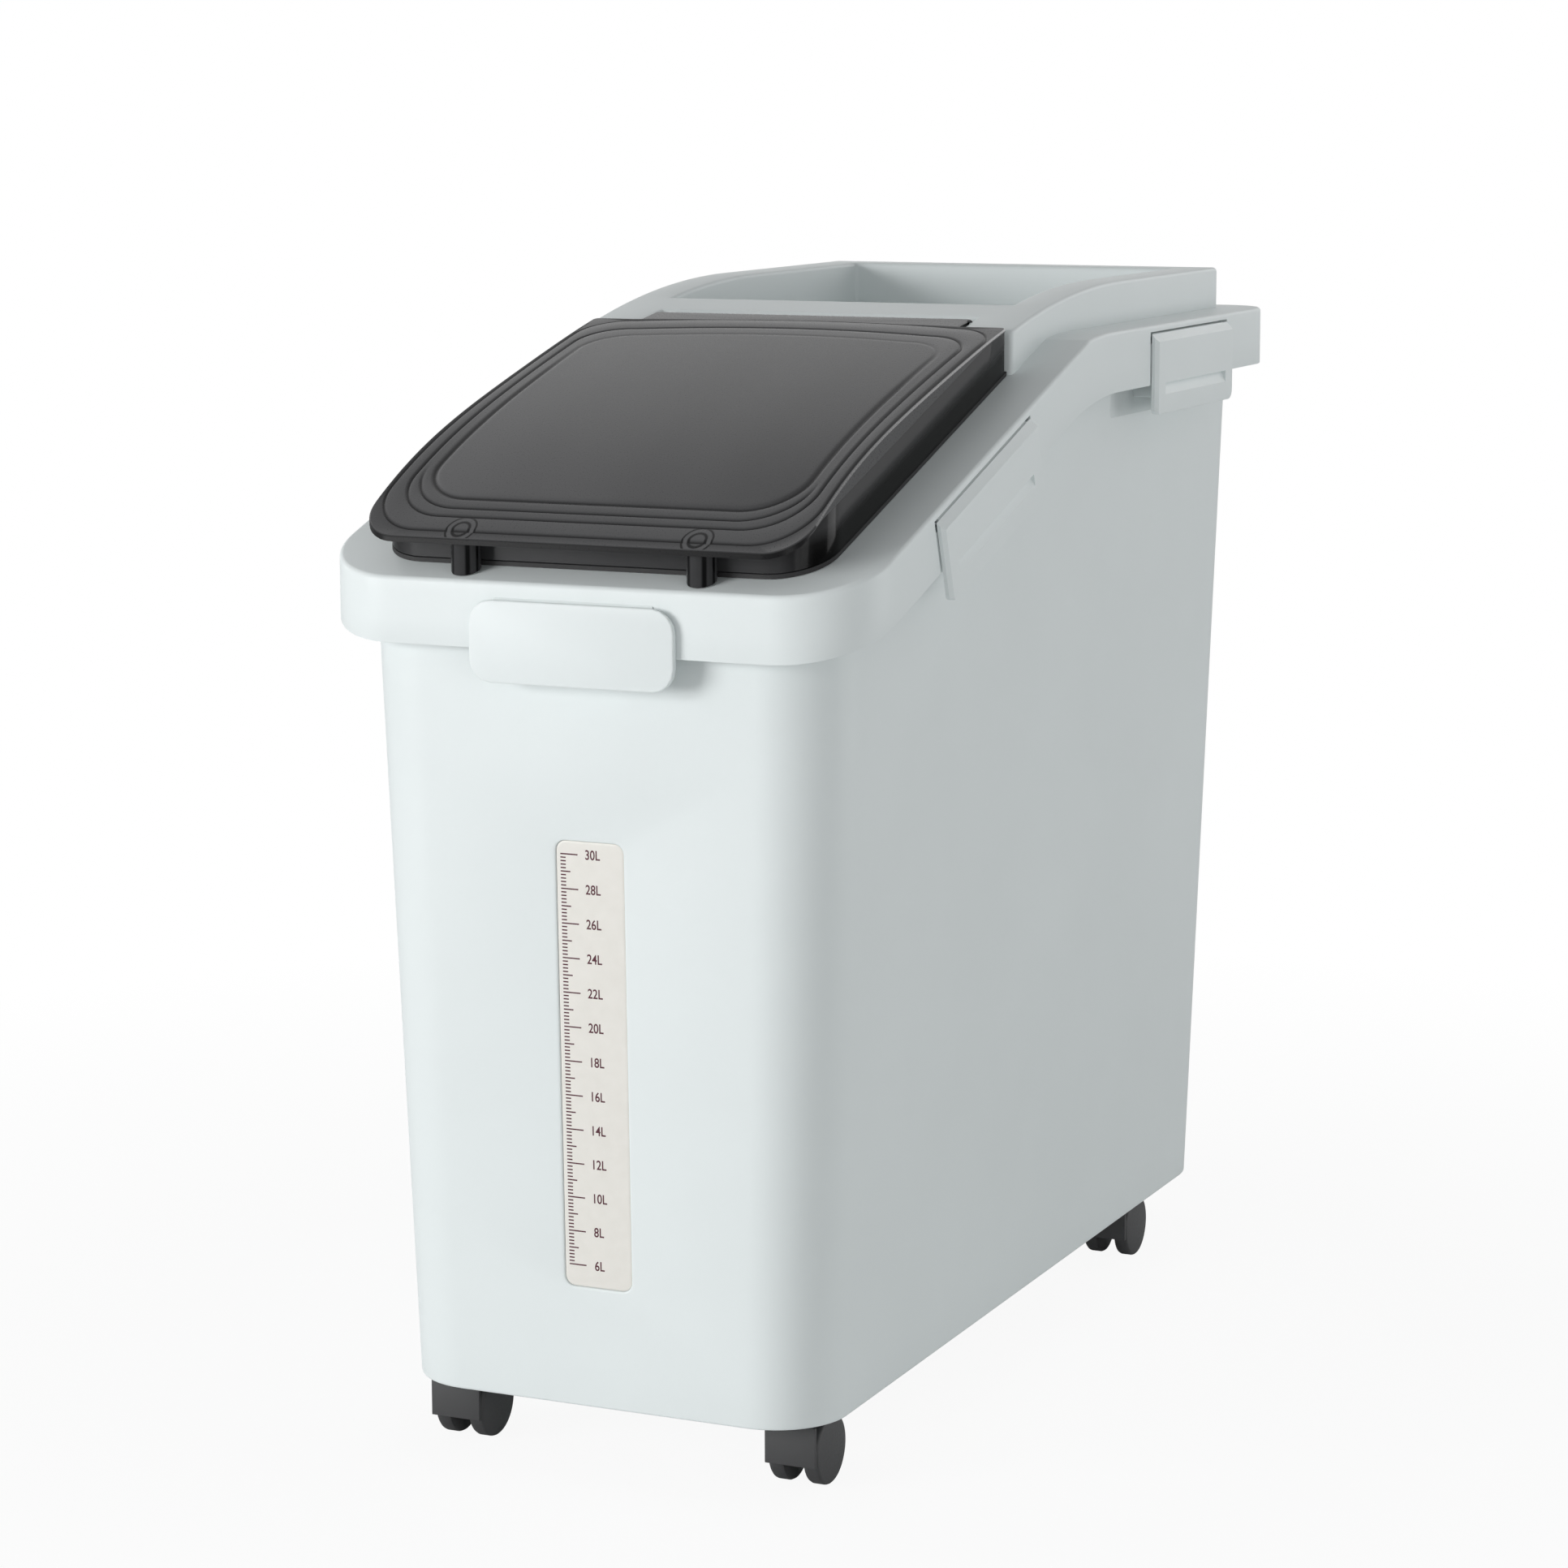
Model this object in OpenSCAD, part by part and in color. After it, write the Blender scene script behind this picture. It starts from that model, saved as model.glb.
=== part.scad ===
// Rolling flour bin: a tapered tub on four swivel casters under a sloped cover.
// The cover carries a smoked flip lid, a tray fence and five latches.
// X is the width, -Y is the front, Z is up, and the origin lies on the ground under the middle.

/* [Tub] */
// Width of the tub at its lower edge
tub_w = 222; // [210:1:236]
// Depth of the tub at its lower edge
tub_d = 550; // [520:1:590]
// Corner radius of the tub
tub_corner = 36; // [26:1:44]
// Lean of the side walls in degrees
side_lean = 1.72; // [1:0.02:2]
// Lean of the front and rear walls in degrees
end_lean = 1.35; // [0.8:0.05:1.6]
// Wall thickness of the tub
tub_wall = 2.6; // [2.2:0.1:3.2]
// Height of the floor's underside above the tub's lower edge
floor_rise = 17; // [16:0.5:26]
// Thickness of the floor
floor_t = 3; // [2.5:0.5:5]
// Thickness of the rim that the cover rests on
rim_t = 3; // [2.5:0.5:5]

/* [Sight window] */
// Width of the window in the front wall
window_w = 35; // [24:1:46]
// Height of the window
window_h = 214; // [160:1:230]
// Height of the window's lower end above the tub's lower edge
window_rise = 59; // [40:1:80]
// Corner radius of the window
window_corner = 5; // [3:0.5:10]
// Depth by which the window lies behind the front wall's face
window_recess = 0.8; // [0.4:0.1:1.2]
// Width of the flange that holds the window from inside
window_flange = 4; // [2:0.5:6]
// Thickness of that flange
window_flange_t = 1.2; // [1:0.1:2]

/* [Cover] */
// Overhang of the cover past the tub's top on each side
side_overhang = 14; // [13:0.5:18]
// Overhang of the cover past the tub's top at front and rear
end_overhang = 8; // [7.5:0.5:12]
// Height of the deck at the front above the tub's lower edge
deck_front = 393; // [370:1:410]
// Height of the rear deck above the tub's lower edge
deck_rear = 492; // [476:1:510]
// Distance from the cover's front to the start of the rear deck
deck_run = 301.11; // [285:0.01:320]
// Steepness of the rear deck just behind its crease, in degrees
crease_rise = 8; // [4:0.5:12]
// Radius that levels the rear deck behind the crease
deck_blend = 230; // [60:5:300]
// Radius of the bend in the skirt's lower edge
skirt_blend = 220; // [60:5:300]
// Corner radius of the cover at the front
cover_front_corner = 43; // [34:1:50]
// Corner radius of the cover at the rear
cover_rear_corner = 26; // [20:1:36]
// Height of the skirt
skirt_h = 31; // [29:0.5:36]
// Wall thickness of the cover
cover_wall = 2.6; // [2.2:0.1:3.2]
// Thickness of the seal between rim and cover
seal_t = 2; // [1:0.25:3]
// Width of that seal
seal_w = 5; // [4:0.5:7]

/* [Mouth] */
// Height of the collar round the mouth
collar_h = 9; // [6:0.5:11]
// Distance from the lid's wall to the collar
collar_inset = 16.5; // [9:0.5:20]
// Corner radius of the mouth
mouth_corner = 26; // [16:1:34]

/* [Tray fence] */
// Distance from the cover's side to the fence
fence_side = 24; // [20:1:32]
// Distance from the cover's rear to the fence
fence_rear = 26; // [18:1:40]
// Distance by which the fence reaches ahead of the rear deck
fence_lead = 52; // [46:1:60]
// Width of the fence's rails
fence_rail = 21; // [16:1:28]
// Depth of the cross bar behind the lid
bar_d = 28; // [20:1:40]
// Height of the fence above the rear deck
fence_rise = 22; // [18:0.5:26]
// Radius of the fence's curved top
fence_arc = 706; // [500:1:900]
// Distance from the rear deck's start to the top of the curve
fence_crown = 105; // [90:1:120]

/* [Flip lid] */
// Distance from the cover's side to the lid
lid_side = 26; // [25:0.5:36]
// Distance by which the lid's lip reaches past the cover's front
lip_reach = 0.6; // [-6:0.2:2]
// Corner radius of the lid at the front
lid_corner = 20; // [14:1:40]
// Corner radius of the lid's walls at the front
lid_wall_corner = 26; // [16:1:34]
// Height of the lip's top above the deck
lip_rise = 20; // [17:0.5:26]
// Height of the lid's rear above the deck
lid_rear_rise = 24; // [22:0.5:28]
// Radius of the lid's arched top
lid_arc = 760; // [500:5:900]
// Thickness of the lid
lid_t = 3; // [2:0.25:4]
// Distance from the lip to the lid's front wall
lip_depth = 16.5; // [15:0.5:20]
// Distance from the lid's edge to its side walls
eave = 0.5; // [0.5:0.5:8]
// Gap between the lid and the fence
lid_gap = 1.5; // [1:0.25:3]
// Depth of the tongue that reaches into the fence
tongue_d = 25; // [24:0.5:30]
// Space on each side between the tongue and the fence's outer face
tongue_side = 29; // [26:0.5:36]
// Radius of the hinge barrel
barrel_r = 6; // [5:0.25:6.5]
// Gap between the barrel and the cross bar
barrel_gap = 3; // [2.8:0.2:4]
// Diameter of the lid's hinge pins
lid_pin_d = 5; // [3:0.5:6]
// Height of the soft seal under the lid's walls
lid_seal_h = 2; // [1:0.25:3]
// Spacing of the two posts under the lip
post_spacing = 120; // [90:1:140]
// Diameter of the posts
post_d = 14; // [11:0.5:14.5]
// Diameter of the soft bumper in each post
bumper_d = 8; // [5:0.5:10]
// Height of the bumper inside its post
bumper_h = 6; // [4:0.5:8]

/* [Latches] */
// Thickness of a latch plate
latch_t = 3.6; // [3:0.1:4.5]
// Length of the side latches behind the slope
rear_latch_len = 122; // [90:1:140]
// Length of the side latches on the slope
front_latch_len = 125; // [90:1:130]
// Distance from the rear deck's start to the rear latches
rear_latch_start = 84; // [50:1:100]
// Distance along the slope from the cover's front to the sloped latches
front_latch_start = 95; // [80:1:110]
// Distance by which a latch hangs below the skirt
latch_hang = 15; // [14:0.5:22]
// Distance from the deck down to a latch's top
latch_top = 4.5; // [4:0.25:7]
// Bevel along a side latch's top
latch_bevel = 3; // [2:0.25:3.4]
// Height of the finger groove
groove_h = 6; // [3:0.5:7]
// Height of the finger groove above a latch's lower edge
groove_up = 10; // [8:0.5:16]
// Depth of the finger groove
groove_t = 1.2; // [0.6:0.1:1.8]
// Distance from a latch's end to its groove
groove_end = 12; // [8:0.5:20]
// Width of the front latch
front_plate_w = 104; // [80:1:130]
// Corner radius of the front latch
front_plate_corner = 11; // [6:0.5:14]
// Distance from the deck down to the front latch's top
front_plate_top = 7.8; // [7:0.2:9]
// Diameter of a latch pin
latch_pin_d = 2.4; // [1.8:0.1:2.8]
// Height of a keeper ledge on the tub
keeper_h = 7; // [5:0.5:8]
// Depth by which a latch's hook reaches under its keeper
hook_grip = 4; // [2.5:0.5:4.5]
// Height of the hook
hook_h = 5; // [4:0.5:5.5]

/* [Casters] */
// Diameter of the wheels
wheel_d = 34; // [30:1:40]
// Width of one wheel
wheel_w = 8; // [7:0.5:12]
// Width of the caster body between its wheels
body_w = 9; // [8:0.5:12]
// Distance from the swivel axis to the axle
trail = 14; // [13:0.5:17]
// Diameter of the axle
axle_d = 5; // [3:0.5:6]
// Diameter of the stem
stem_d = 6; // [5:0.25:7]
// Distance from the tub's side to the swivel axis
caster_side = 22; // [20.5:0.5:40]
// Distance from the tub's front to the front swivel axes
caster_front = 53.5; // [30:0.5:70]
// Distance from the tub's rear to the rear swivel axes
caster_rear = 70; // [30:1:90]
// Thickness of the guard plate ahead of the wheels
guard_t = 1.8; // [1.4:0.1:3]
// Height of the guard plate's lower edge above the ground
guard_z = 13; // [6:0.5:14]

/* [Hidden] */
$fn = 72;
// Running clearance of a pin in its bore
run_fit = 0.05;
// Clearance of a pressed pin and of a bonded window
press_fit = 0.02;
// Clearance between parts that pass each other
pass_gap = 0.4;
// Clearance between the wheels and the tub's lower edge
wheel_gap = 1;
// Reach of cutting shapes past what they cut
over = 5;
// Thickness of the slabs that a tapered wall is stretched between
slab = 0.01;

// Levels above the ground
tub_z = wheel_d + wheel_gap;
floor_z = tub_z + floor_rise;
front_z = tub_z + deck_front;
rear_z = tub_z + deck_rear;
rim_drop = cover_wall + seal_t;

// Plan of the cover, from the tub's size at the rear rim
tub_rise = deck_rear - rim_drop;
top_w = tub_w + 2 * tub_rise * tan(side_lean);
top_d = tub_d + 2 * tub_rise * tan(end_lean);
cover_w = top_w + 2 * side_overhang;
cover_d = top_d + 2 * end_overhang;
front_y = -cover_d / 2;
reach = cover_d;

// Side profile of the deck: a straight slope, a crease, a blend and a flat rear
deck_y = front_y + deck_run;
fall = (deck_rear - deck_front) / deck_run;
slope = atan(fall);
blend_steps = 8;
function slope_z(y) = front_z + (y - front_y) * fall;
function bent_line(drop, r, rise) =
    let (from = deck_y - r * (1 - cos(rise)) / fall)
    concat(
        [[-reach, slope_z(-reach) - drop]],
        [for (i = [0:blend_steps])
            let (a = 90 + rise * (1 - i / blend_steps))
            [from + r * (sin(rise) + cos(a)), rear_z - drop + r * (sin(a) - 1)]],
        [[reach, rear_z - drop]]);
function deck_line(drop) = bent_line(drop, deck_blend, crease_rise);
function skirt_line() = bent_line(skirt_h, skirt_blend, slope);
function backward(line) = [for (i = [len(line) - 1:-1:0]) line[i]];

// Tray fence
fence_w = cover_w - 2 * fence_side;
fence_y = deck_y - fence_lead;
fence_end = cover_d / 2 - fence_rear;
fence_top = rear_z + fence_rise;
crown_y = deck_y + fence_crown;
bar_y = fence_y + tongue_d;
fence_steps = 12;
function fence_line(drop) = concat(
    [for (i = [0:fence_steps])
        let (y = fence_y - over + (crown_y - fence_y + over) * i / fence_steps)
        let (rise = sqrt(fence_arc * fence_arc - (crown_y - y) * (crown_y - y)) - fence_arc)
        [y, fence_top - drop + rise]],
    [[reach, fence_top - drop]]);

// Flip lid: its arched top runs from the lip to the tongue
lid_w = cover_w - 2 * lid_side;
lip_y = front_y - lip_reach;
lid_y = fence_y - lid_gap;
lip_z = slope_z(lip_y) + lip_rise;
lid_rear_z = slope_z(lid_y) + lid_rear_rise;
lid_run = lid_y - lip_y;
lid_climb = lid_rear_z - lip_z;
lid_chord = sqrt(lid_run * lid_run + lid_climb * lid_climb);
lid_tilt = atan2(lid_climb, lid_run);
lid_sink = sqrt(lid_arc * lid_arc - lid_chord * lid_chord / 4);
arc_y = (lip_y + lid_y) / 2 + lid_sink * sin(lid_tilt);
arc_z = (lip_z + lid_rear_z) / 2 - lid_sink * cos(lid_tilt);
tongue_w = fence_w - 2 * tongue_side;
pivot_y = bar_y - barrel_gap - barrel_r;
pivot_z = arc_z + sqrt(lid_arc * lid_arc - (arc_y - pivot_y) * (arc_y - pivot_y)) - barrel_r;
lid_wall_w = lid_w - 2 * eave;
lid_wall_front = lip_y + lip_depth;
lid_pin_r = lid_pin_d / 2;
pin_grip = 10;
boss_wall = 1.6;
seal_lift = 0.3;
post_merge = 1;
post_y = lid_wall_front + post_merge - post_d / 2;
bumper_z = slope_z(post_y) + seal_lift + bumper_h;

// Latches: distances from the cover's outer face and from the deck
pin_r = latch_pin_d / 2;
sleeve_wall = 1.2;
sleeve_out = 0.5;
hinge_r = pin_r + sleeve_wall;
hinge_in = hinge_r - sleeve_out;
hinge_up = 2;
pocket_roof = 1.5;
pocket_up = hinge_up + pocket_roof;
pocket_wall = 1.8;
pocket_in = hinge_in + hinge_r + pass_gap;
pocket_back = pocket_in + pocket_wall;
pin_end = 6;
boss_end = 8;
hook_end = 30;
keeper_end = 20;
keeper_out = 5;
front_hinge_up = 0.6;
side_hinge = latch_top + hinge_up;
front_hinge = front_plate_top + front_hinge_up;
pocket_gap = 1.5;
barrel_end = 4;
web_lift = 0.3;
web_end = 1;
pin_play = 1;
hook_gap = 0.3;
relief_out = 2.4;
relief_drop = 1.2;
relief_lap = 0.5;
front_barrel = front_plate_w - 2 * front_plate_corner;
rim_gap = 0.6;
rim_w = cover_w - 2 * (pocket_back + rim_gap);
rim_d = cover_d - 2 * (pocket_back + rim_gap);

// Casters
wheel_r = wheel_d / 2;
axle_r = axle_d / 2;
stem_r = stem_d / 2;
wheel_play = 0.5;
wheel_side = body_w / 2 + wheel_play;
pair_w = 2 * (wheel_side + wheel_w);
swivel_ring = 4.5;
swivel_rise = 2;
swivel_gap = 0.3;
swivel_r = stem_r + swivel_ring;
swivel_top = tub_z + swivel_rise;
socket_flange_t = 1.2;
socket_wall = 3;
socket_r = stem_r + socket_wall;
socket_z = swivel_top + swivel_gap + socket_flange_t;
socket_flange = 3;
socket_boss = 4;
socket_cap = 2;
socket_gap = 1;
boss_r = socket_r + socket_boss;
stem_top = floor_z - socket_cap;
stem_seat = 1;
stem_bottom = wheel_r + stem_seat;
stem_gap = 0.5;
guard_gap = 1.2;
wheel_face = 1.6;
wheel_edge = 1.2;
caster_x = tub_w / 2 - caster_side;
front_caster_y = -tub_d / 2 + caster_front;
rear_caster_y = tub_d / 2 - caster_rear;
caster_spots = [
    [-caster_x, front_caster_y],
    [caster_x, front_caster_y],
    [-caster_x, rear_caster_y],
    [caster_x, rear_caster_y]];

shell = [0.91, 0.93, 0.93];
smoke = [0.3, 0.3, 0.31];
cream = [0.91, 0.89, 0.85];
steel = [0.7, 0.71, 0.72];
rubber = [0.16, 0.16, 0.17];
caster_grey = [0.26, 0.26, 0.27];

// Rounded rectangle with one radius at the front and one at the rear
module plan(w, d, front_r, rear_r) {
    translate([-w / 2, -d / 2 + front_r])
        square([w, d - front_r - rear_r]);
    translate([-w / 2 + front_r, -d / 2])
        square([w - 2 * front_r, d / 2]);
    translate([-w / 2 + rear_r, 0])
        square([w - 2 * rear_r, d / 2]);
    for (side = [-1, 1]) {
        translate([side * (w / 2 - front_r), -d / 2 + front_r])
            circle(front_r);
        translate([side * (w / 2 - rear_r), d / 2 - rear_r])
            circle(rear_r);
    }
}

// Upright prism of a plan, from low to high
module prism(low, high) {
    translate([0, 0, low])
        linear_extrude(high - low)
            children();
}

// Block with a side profile in Y and Z, centred across the width
module across(line, w) {
    rotate([90, 0, 90])
        translate([0, 0, -w / 2])
            linear_extrude(w)
                polygon(line);
}

// Everything below the deck, lowered by drop
module under_deck(drop) {
    across(concat(deck_line(drop), [[reach, -over], [-reach, -over]]), 2 * cover_w);
}

// Layer that follows the deck, between two drops
module deck_layer(drop, deeper) {
    across(concat(deck_line(drop), backward(deck_line(deeper))), 2 * cover_w);
}

// Round rod along X
module rod(r, length) {
    rotate([0, 90, 0])
        cylinder(r = r, h = length, center = true);
}

// Tapered box with round corners, as the tub's outside drawn in by inset
module tapered(low, high, inset) {
    hull() {
        for (z = [low, high]) {
            w = tub_w + 2 * (z - tub_z) * tan(side_lean) - 2 * inset;
            d = tub_d + 2 * (z - tub_z) * tan(end_lean) - 2 * inset;
            r = tub_corner - inset;
            for (sx = [-1, 1], sy = [-1, 1])
                translate([sx * (w / 2 - r), sy * (d / 2 - r), z])
                    cylinder(r = r, h = slab, $fn = 48);
        }
    }
}

// Frame on the front wall: X across, Y into the tub, Z up the leaning wall
module on_front_wall() {
    translate([0, -tub_d / 2, tub_z])
        rotate([end_lean, 0, 0])
            children();
}

module window_block(grow, from, to) {
    w = window_w + 2 * grow;
    h = window_h + 2 * grow;
    r = window_corner + grow;
    on_front_wall()
        translate([0, from, window_rise + window_h / 2])
            rotate([-90, 0, 0])
                linear_extrude(to - from)
                    plan(w, h, r, r);
}

module keeper(sides, start, length, tilt) {
    drop = skirt_h * cos(tilt) + rim_gap;
    latch_frame(sides, start, length, tilt)
        translate([-keeper_out - side_overhang - over, keeper_end - length / 2, -drop - keeper_h])
            cube([side_overhang + over, length - 2 * keeper_end, keeper_h]);
}

// Local frame of a side latch: X outward from the cover's face, Y along the deck, Z off the deck
module latch_frame(sides, start, length, tilt) {
    foot = tilt > 0 ? [cover_w / 2, front_y, front_z] : [cover_w / 2, deck_y, rear_z];
    for (side = sides)
        mirror([side < 0 ? 1 : 0, 0, 0])
            translate(foot)
                rotate([tilt, 0, 0])
                    translate([0, start + length / 2, 0])
                        children();
}

// Local frame of the front latch, with the same meaning
module front_frame() {
    translate([0, front_y, front_z])
        rotate([0, 0, -90])
            children();
}

module front_keeper() {
    drop = skirt_h + rim_gap;
    front_frame()
        translate([-keeper_out - end_overhang - over, keeper_end - front_plate_w / 2, -drop - keeper_h])
            cube([end_overhang + over, front_plate_w - 2 * keeper_end, keeper_h]);
}

module tub() {
    color(shell)
        difference() {
            union() {
                intersection() {
                    tapered(tub_z, rear_z, 0);
                    under_deck(rim_drop);
                }
                intersection() {
                    prism(tub_z, rear_z)
                        plan(rim_w, rim_d, tub_corner, tub_corner);
                    deck_layer(rim_drop, rim_drop + rim_t);
                }
                keeper([-1, 1], rear_latch_start, rear_latch_len, 0);
                keeper([-1, 1], front_latch_start, front_latch_len, slope);
                front_keeper();
            }
            tapered(floor_z + floor_t, rear_z + over, tub_wall);
            difference() {
                tapered(tub_z - over, floor_z, tub_wall);
                for (spot = caster_spots)
                    translate([spot[0], spot[1], socket_z])
                        cylinder(r = boss_r, h = floor_rise);
            }
            for (spot = caster_spots)
                translate([spot[0], spot[1], socket_z - over])
                    cylinder(r = socket_r + press_fit, h = stem_top + socket_gap - socket_z + over);
            window_block(press_fit, -over, tub_wall + over);
        }
}

module sight_window() {
    color(cream) {
        window_block(0, window_recess, tub_wall + window_flange_t);
        window_block(window_flange, tub_wall / cos(end_lean), tub_wall + window_flange_t);
    }
}

// Mouth outline in the sloped deck, drawn in from the lid's walls
module mouth(inset) {
    w = lid_wall_w - 2 * inset;
    from = lid_wall_front + inset;
    to = lid_y - inset;
    translate([0, (from + to) / 2])
        plan(w, to - from, mouth_corner, mouth_corner);
}

module fence_plan(inset) {
    difference() {
        translate([-fence_w / 2 + inset, fence_y + inset])
            square([fence_w - 2 * inset, fence_end - fence_y - 2 * inset]);
        translate([-fence_w / 2 + fence_rail - inset, bar_y + bar_d - inset])
            square([fence_w - 2 * fence_rail + 2 * inset, fence_end - fence_rail - bar_y - bar_d + 2 * inset]);
        translate([-tongue_w / 2 - pass_gap - inset, fence_y - over])
            square([tongue_w + 2 * pass_gap + 2 * inset, tongue_d + over + inset]);
    }
}

// Block behind the skirt that backs a latch's pocket and holds its pin
module pocket_block(hinge, length) {
    low = hinge + hinge_r + pass_gap + pocket_wall;
    translate([-pocket_back, -length / 2 - boss_end, -low])
        cube([pocket_back - cover_wall / 2, length + 2 * boss_end, low - cover_wall / 2]);
}

// Room for a latch's barrel
module pocket_cut(hinge, length) {
    translate([-pocket_in, -length / 2 - pocket_gap, -hinge - hinge_r - pass_gap])
        cube([pocket_in + over, length + 2 * pocket_gap, hinge_r + pass_gap + pocket_up]);
}

// Rod along a latch's hinge line
module hinge_rod(r, hinge, length) {
    translate([-hinge_in, 0, -hinge])
        rotate([90, 0, 0])
            cylinder(r = r, h = length, center = true);
}

module latch_seat(hinge, length) {
    pocket_cut(hinge, length);
    hinge_rod(pin_r + press_fit, hinge, length + 2 * pin_end);
}

module cover_shell() {
    difference() {
        intersection() {
            prism(tub_z, rear_z + over)
                plan(cover_w, cover_d, cover_front_corner, cover_rear_corner);
            across(concat(deck_line(0), backward(skirt_line())), 2 * cover_w);
        }
        intersection() {
            prism(0, rear_z + over)
                plan(cover_w - 2 * cover_wall, cover_d - 2 * cover_wall,
                    cover_front_corner - cover_wall, cover_rear_corner - cover_wall);
            under_deck(cover_wall);
        }
    }
}

module fence() {
    intersection() {
        prism(tub_z, fence_top + over)
            fence_plan(0);
        across(concat(fence_line(0), backward(deck_line(cover_wall))), cover_w);
    }
}

module fence_hollow() {
    intersection() {
        prism(0, fence_top + over)
            fence_plan(cover_wall);
        across(concat(fence_line(cover_wall), [[reach, -over], [fence_y - over, -over]]), cover_w);
    }
}

module collar() {
    intersection() {
        prism(tub_z, rear_z)
            mouth(collar_inset);
        deck_layer(-collar_h, cover_wall);
    }
}

module cover() {
    color(shell)
        difference() {
            union() {
                difference() {
                    union() {
                        cover_shell();
                        collar();
                        fence();
                    }
                    fence_hollow();
                    prism(0, rear_z)
                        mouth(collar_inset + cover_wall);
                }
                for (side = [-1, 1])
                    translate([side * (tongue_w / 2 + pass_gap + pin_grip / 2), pivot_y, pivot_z])
                        rod(lid_pin_r + boss_wall, pin_grip);
                latch_frame([-1, 1], rear_latch_start, rear_latch_len, 0)
                    pocket_block(side_hinge, rear_latch_len);
                latch_frame([-1, 1], front_latch_start, front_latch_len, slope)
                    pocket_block(side_hinge, front_latch_len);
                front_frame()
                    pocket_block(front_hinge, front_barrel);
            }
            latch_frame([-1, 1], rear_latch_start, rear_latch_len, 0)
                latch_seat(side_hinge, rear_latch_len);
            latch_frame([-1, 1], front_latch_start, front_latch_len, slope)
                latch_seat(side_hinge, front_latch_len);
            front_frame()
                latch_seat(front_hinge, front_barrel);
            translate([0, pivot_y, pivot_z])
                rod(lid_pin_r + press_fit, tongue_w + 2 * pin_grip);
        }
}

module cover_seal() {
    color(rubber)
        intersection() {
            prism(tub_z, rear_z)
                difference() {
                    plan(rim_w, rim_d, tub_corner, tub_corner);
                    plan(rim_w - 2 * seal_w, rim_d - 2 * seal_w, tub_corner - seal_w, tub_corner - seal_w);
                }
            deck_layer(cover_wall, rim_drop);
        }
}

// Rectangle with rounded corners at the front only
module lid_plan(w, from, to, r) {
    intersection() {
        translate([0, to])
            plan(w, 2 * (to - from), r, r);
        translate([-w / 2, from])
            square([w, to - from]);
    }
}

// Everything below the lid's arched top, lowered by drop
module under_arch(drop) {
    translate([0, arc_y, arc_z])
        rod(lid_arc - drop, 2 * cover_w);
}

module wall_ring() {
    difference() {
        lid_plan(lid_wall_w, lid_wall_front, lid_y, lid_wall_corner);
        lid_plan(lid_wall_w - 2 * lid_t, lid_wall_front + lid_t, lid_y - lid_t, lid_wall_corner - lid_t);
    }
}

module posts(r, low, high) {
    for (side = [-1, 1])
        translate([side * post_spacing / 2, post_y, low])
            cylinder(r = r, h = high - low);
}

module flip_lid() {
    color(smoke)
        difference() {
            union() {
                intersection() {
                    prism(tub_z, fence_top + over) {
                        lid_plan(lid_w, lip_y, lid_y, lid_corner);
                        translate([-tongue_w / 2, lid_y - over])
                            square([tongue_w, pivot_y - lid_y + over]);
                    }
                    difference() {
                        under_arch(0);
                        under_arch(lid_t);
                    }
                }
                difference() {
                    intersection() {
                        union() {
                            prism(tub_z, fence_top)
                                wall_ring();
                            posts(post_d / 2, tub_z, fence_top);
                        }
                        under_arch(lid_t / 2);
                    }
                    under_deck(-seal_lift - lid_seal_h);
                }
                difference() {
                    intersection() {
                        posts(post_d / 2, tub_z, fence_top);
                        under_arch(lid_t / 2);
                    }
                    under_deck(-seal_lift);
                }
                translate([0, pivot_y, pivot_z])
                    rod(barrel_r, tongue_w);
            }
            posts(bumper_d / 2 + press_fit, tub_z, bumper_z);
            for (side = [-1, 1])
                translate([side * tongue_w / 2, pivot_y, pivot_z])
                    rod(lid_pin_r + run_fit, 2 * pin_grip);
        }
}

module lid_seal() {
    color(rubber)
        difference() {
            intersection() {
                prism(tub_z, fence_top)
                    wall_ring();
                deck_layer(-seal_lift - lid_seal_h, -seal_lift);
            }
            posts(post_d / 2 + press_fit, tub_z, fence_top);
        }
}

module lid_bumper(side) {
    color(rubber)
        difference() {
            translate([side * post_spacing / 2, post_y, tub_z])
                cylinder(r = bumper_d / 2, h = bumper_z - tub_z);
            under_deck(-seal_lift);
        }
}

module lid_hinge_pin(side) {
    color(steel)
        translate([side * (tongue_w / 2 + pass_gap / 2), pivot_y, pivot_z])
            rod(lid_pin_r, 2 * pin_grip - pin_play);
}

// Plate of a latch in its frame
module latch_plate(top, bevel, bottom, length) {
    out = pass_gap + latch_t;
    rotate([90, 0, 0])
        translate([0, 0, -length / 2])
            linear_extrude(length)
                polygon([[pass_gap, -bottom], [out, -bottom], [out, -top - bevel], [pass_gap, -top]]);
}

// Barrel of a latch and the web that joins it to the plate
module latch_barrel(hinge, up, length) {
    hinge_rod(hinge_r, hinge, length);
    web = length - 2 * web_end;
    translate([-hinge_in, -web / 2, -hinge - hinge_r + web_lift])
        cube([hinge_in + pass_gap + latch_t / 2, web, hinge_r + up - latch_bevel / 2 - web_lift]);
}

// Rib that reaches under the keeper
module latch_hook(tilt, length) {
    top = skirt_h * cos(tilt) + rim_gap + keeper_h + hook_gap;
    depth = keeper_out + hook_grip + pass_gap + latch_t / 2;
    translate([-keeper_out - hook_grip, -length / 2, -top - hook_h])
        cube([depth, length, hook_h]);
}

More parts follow.
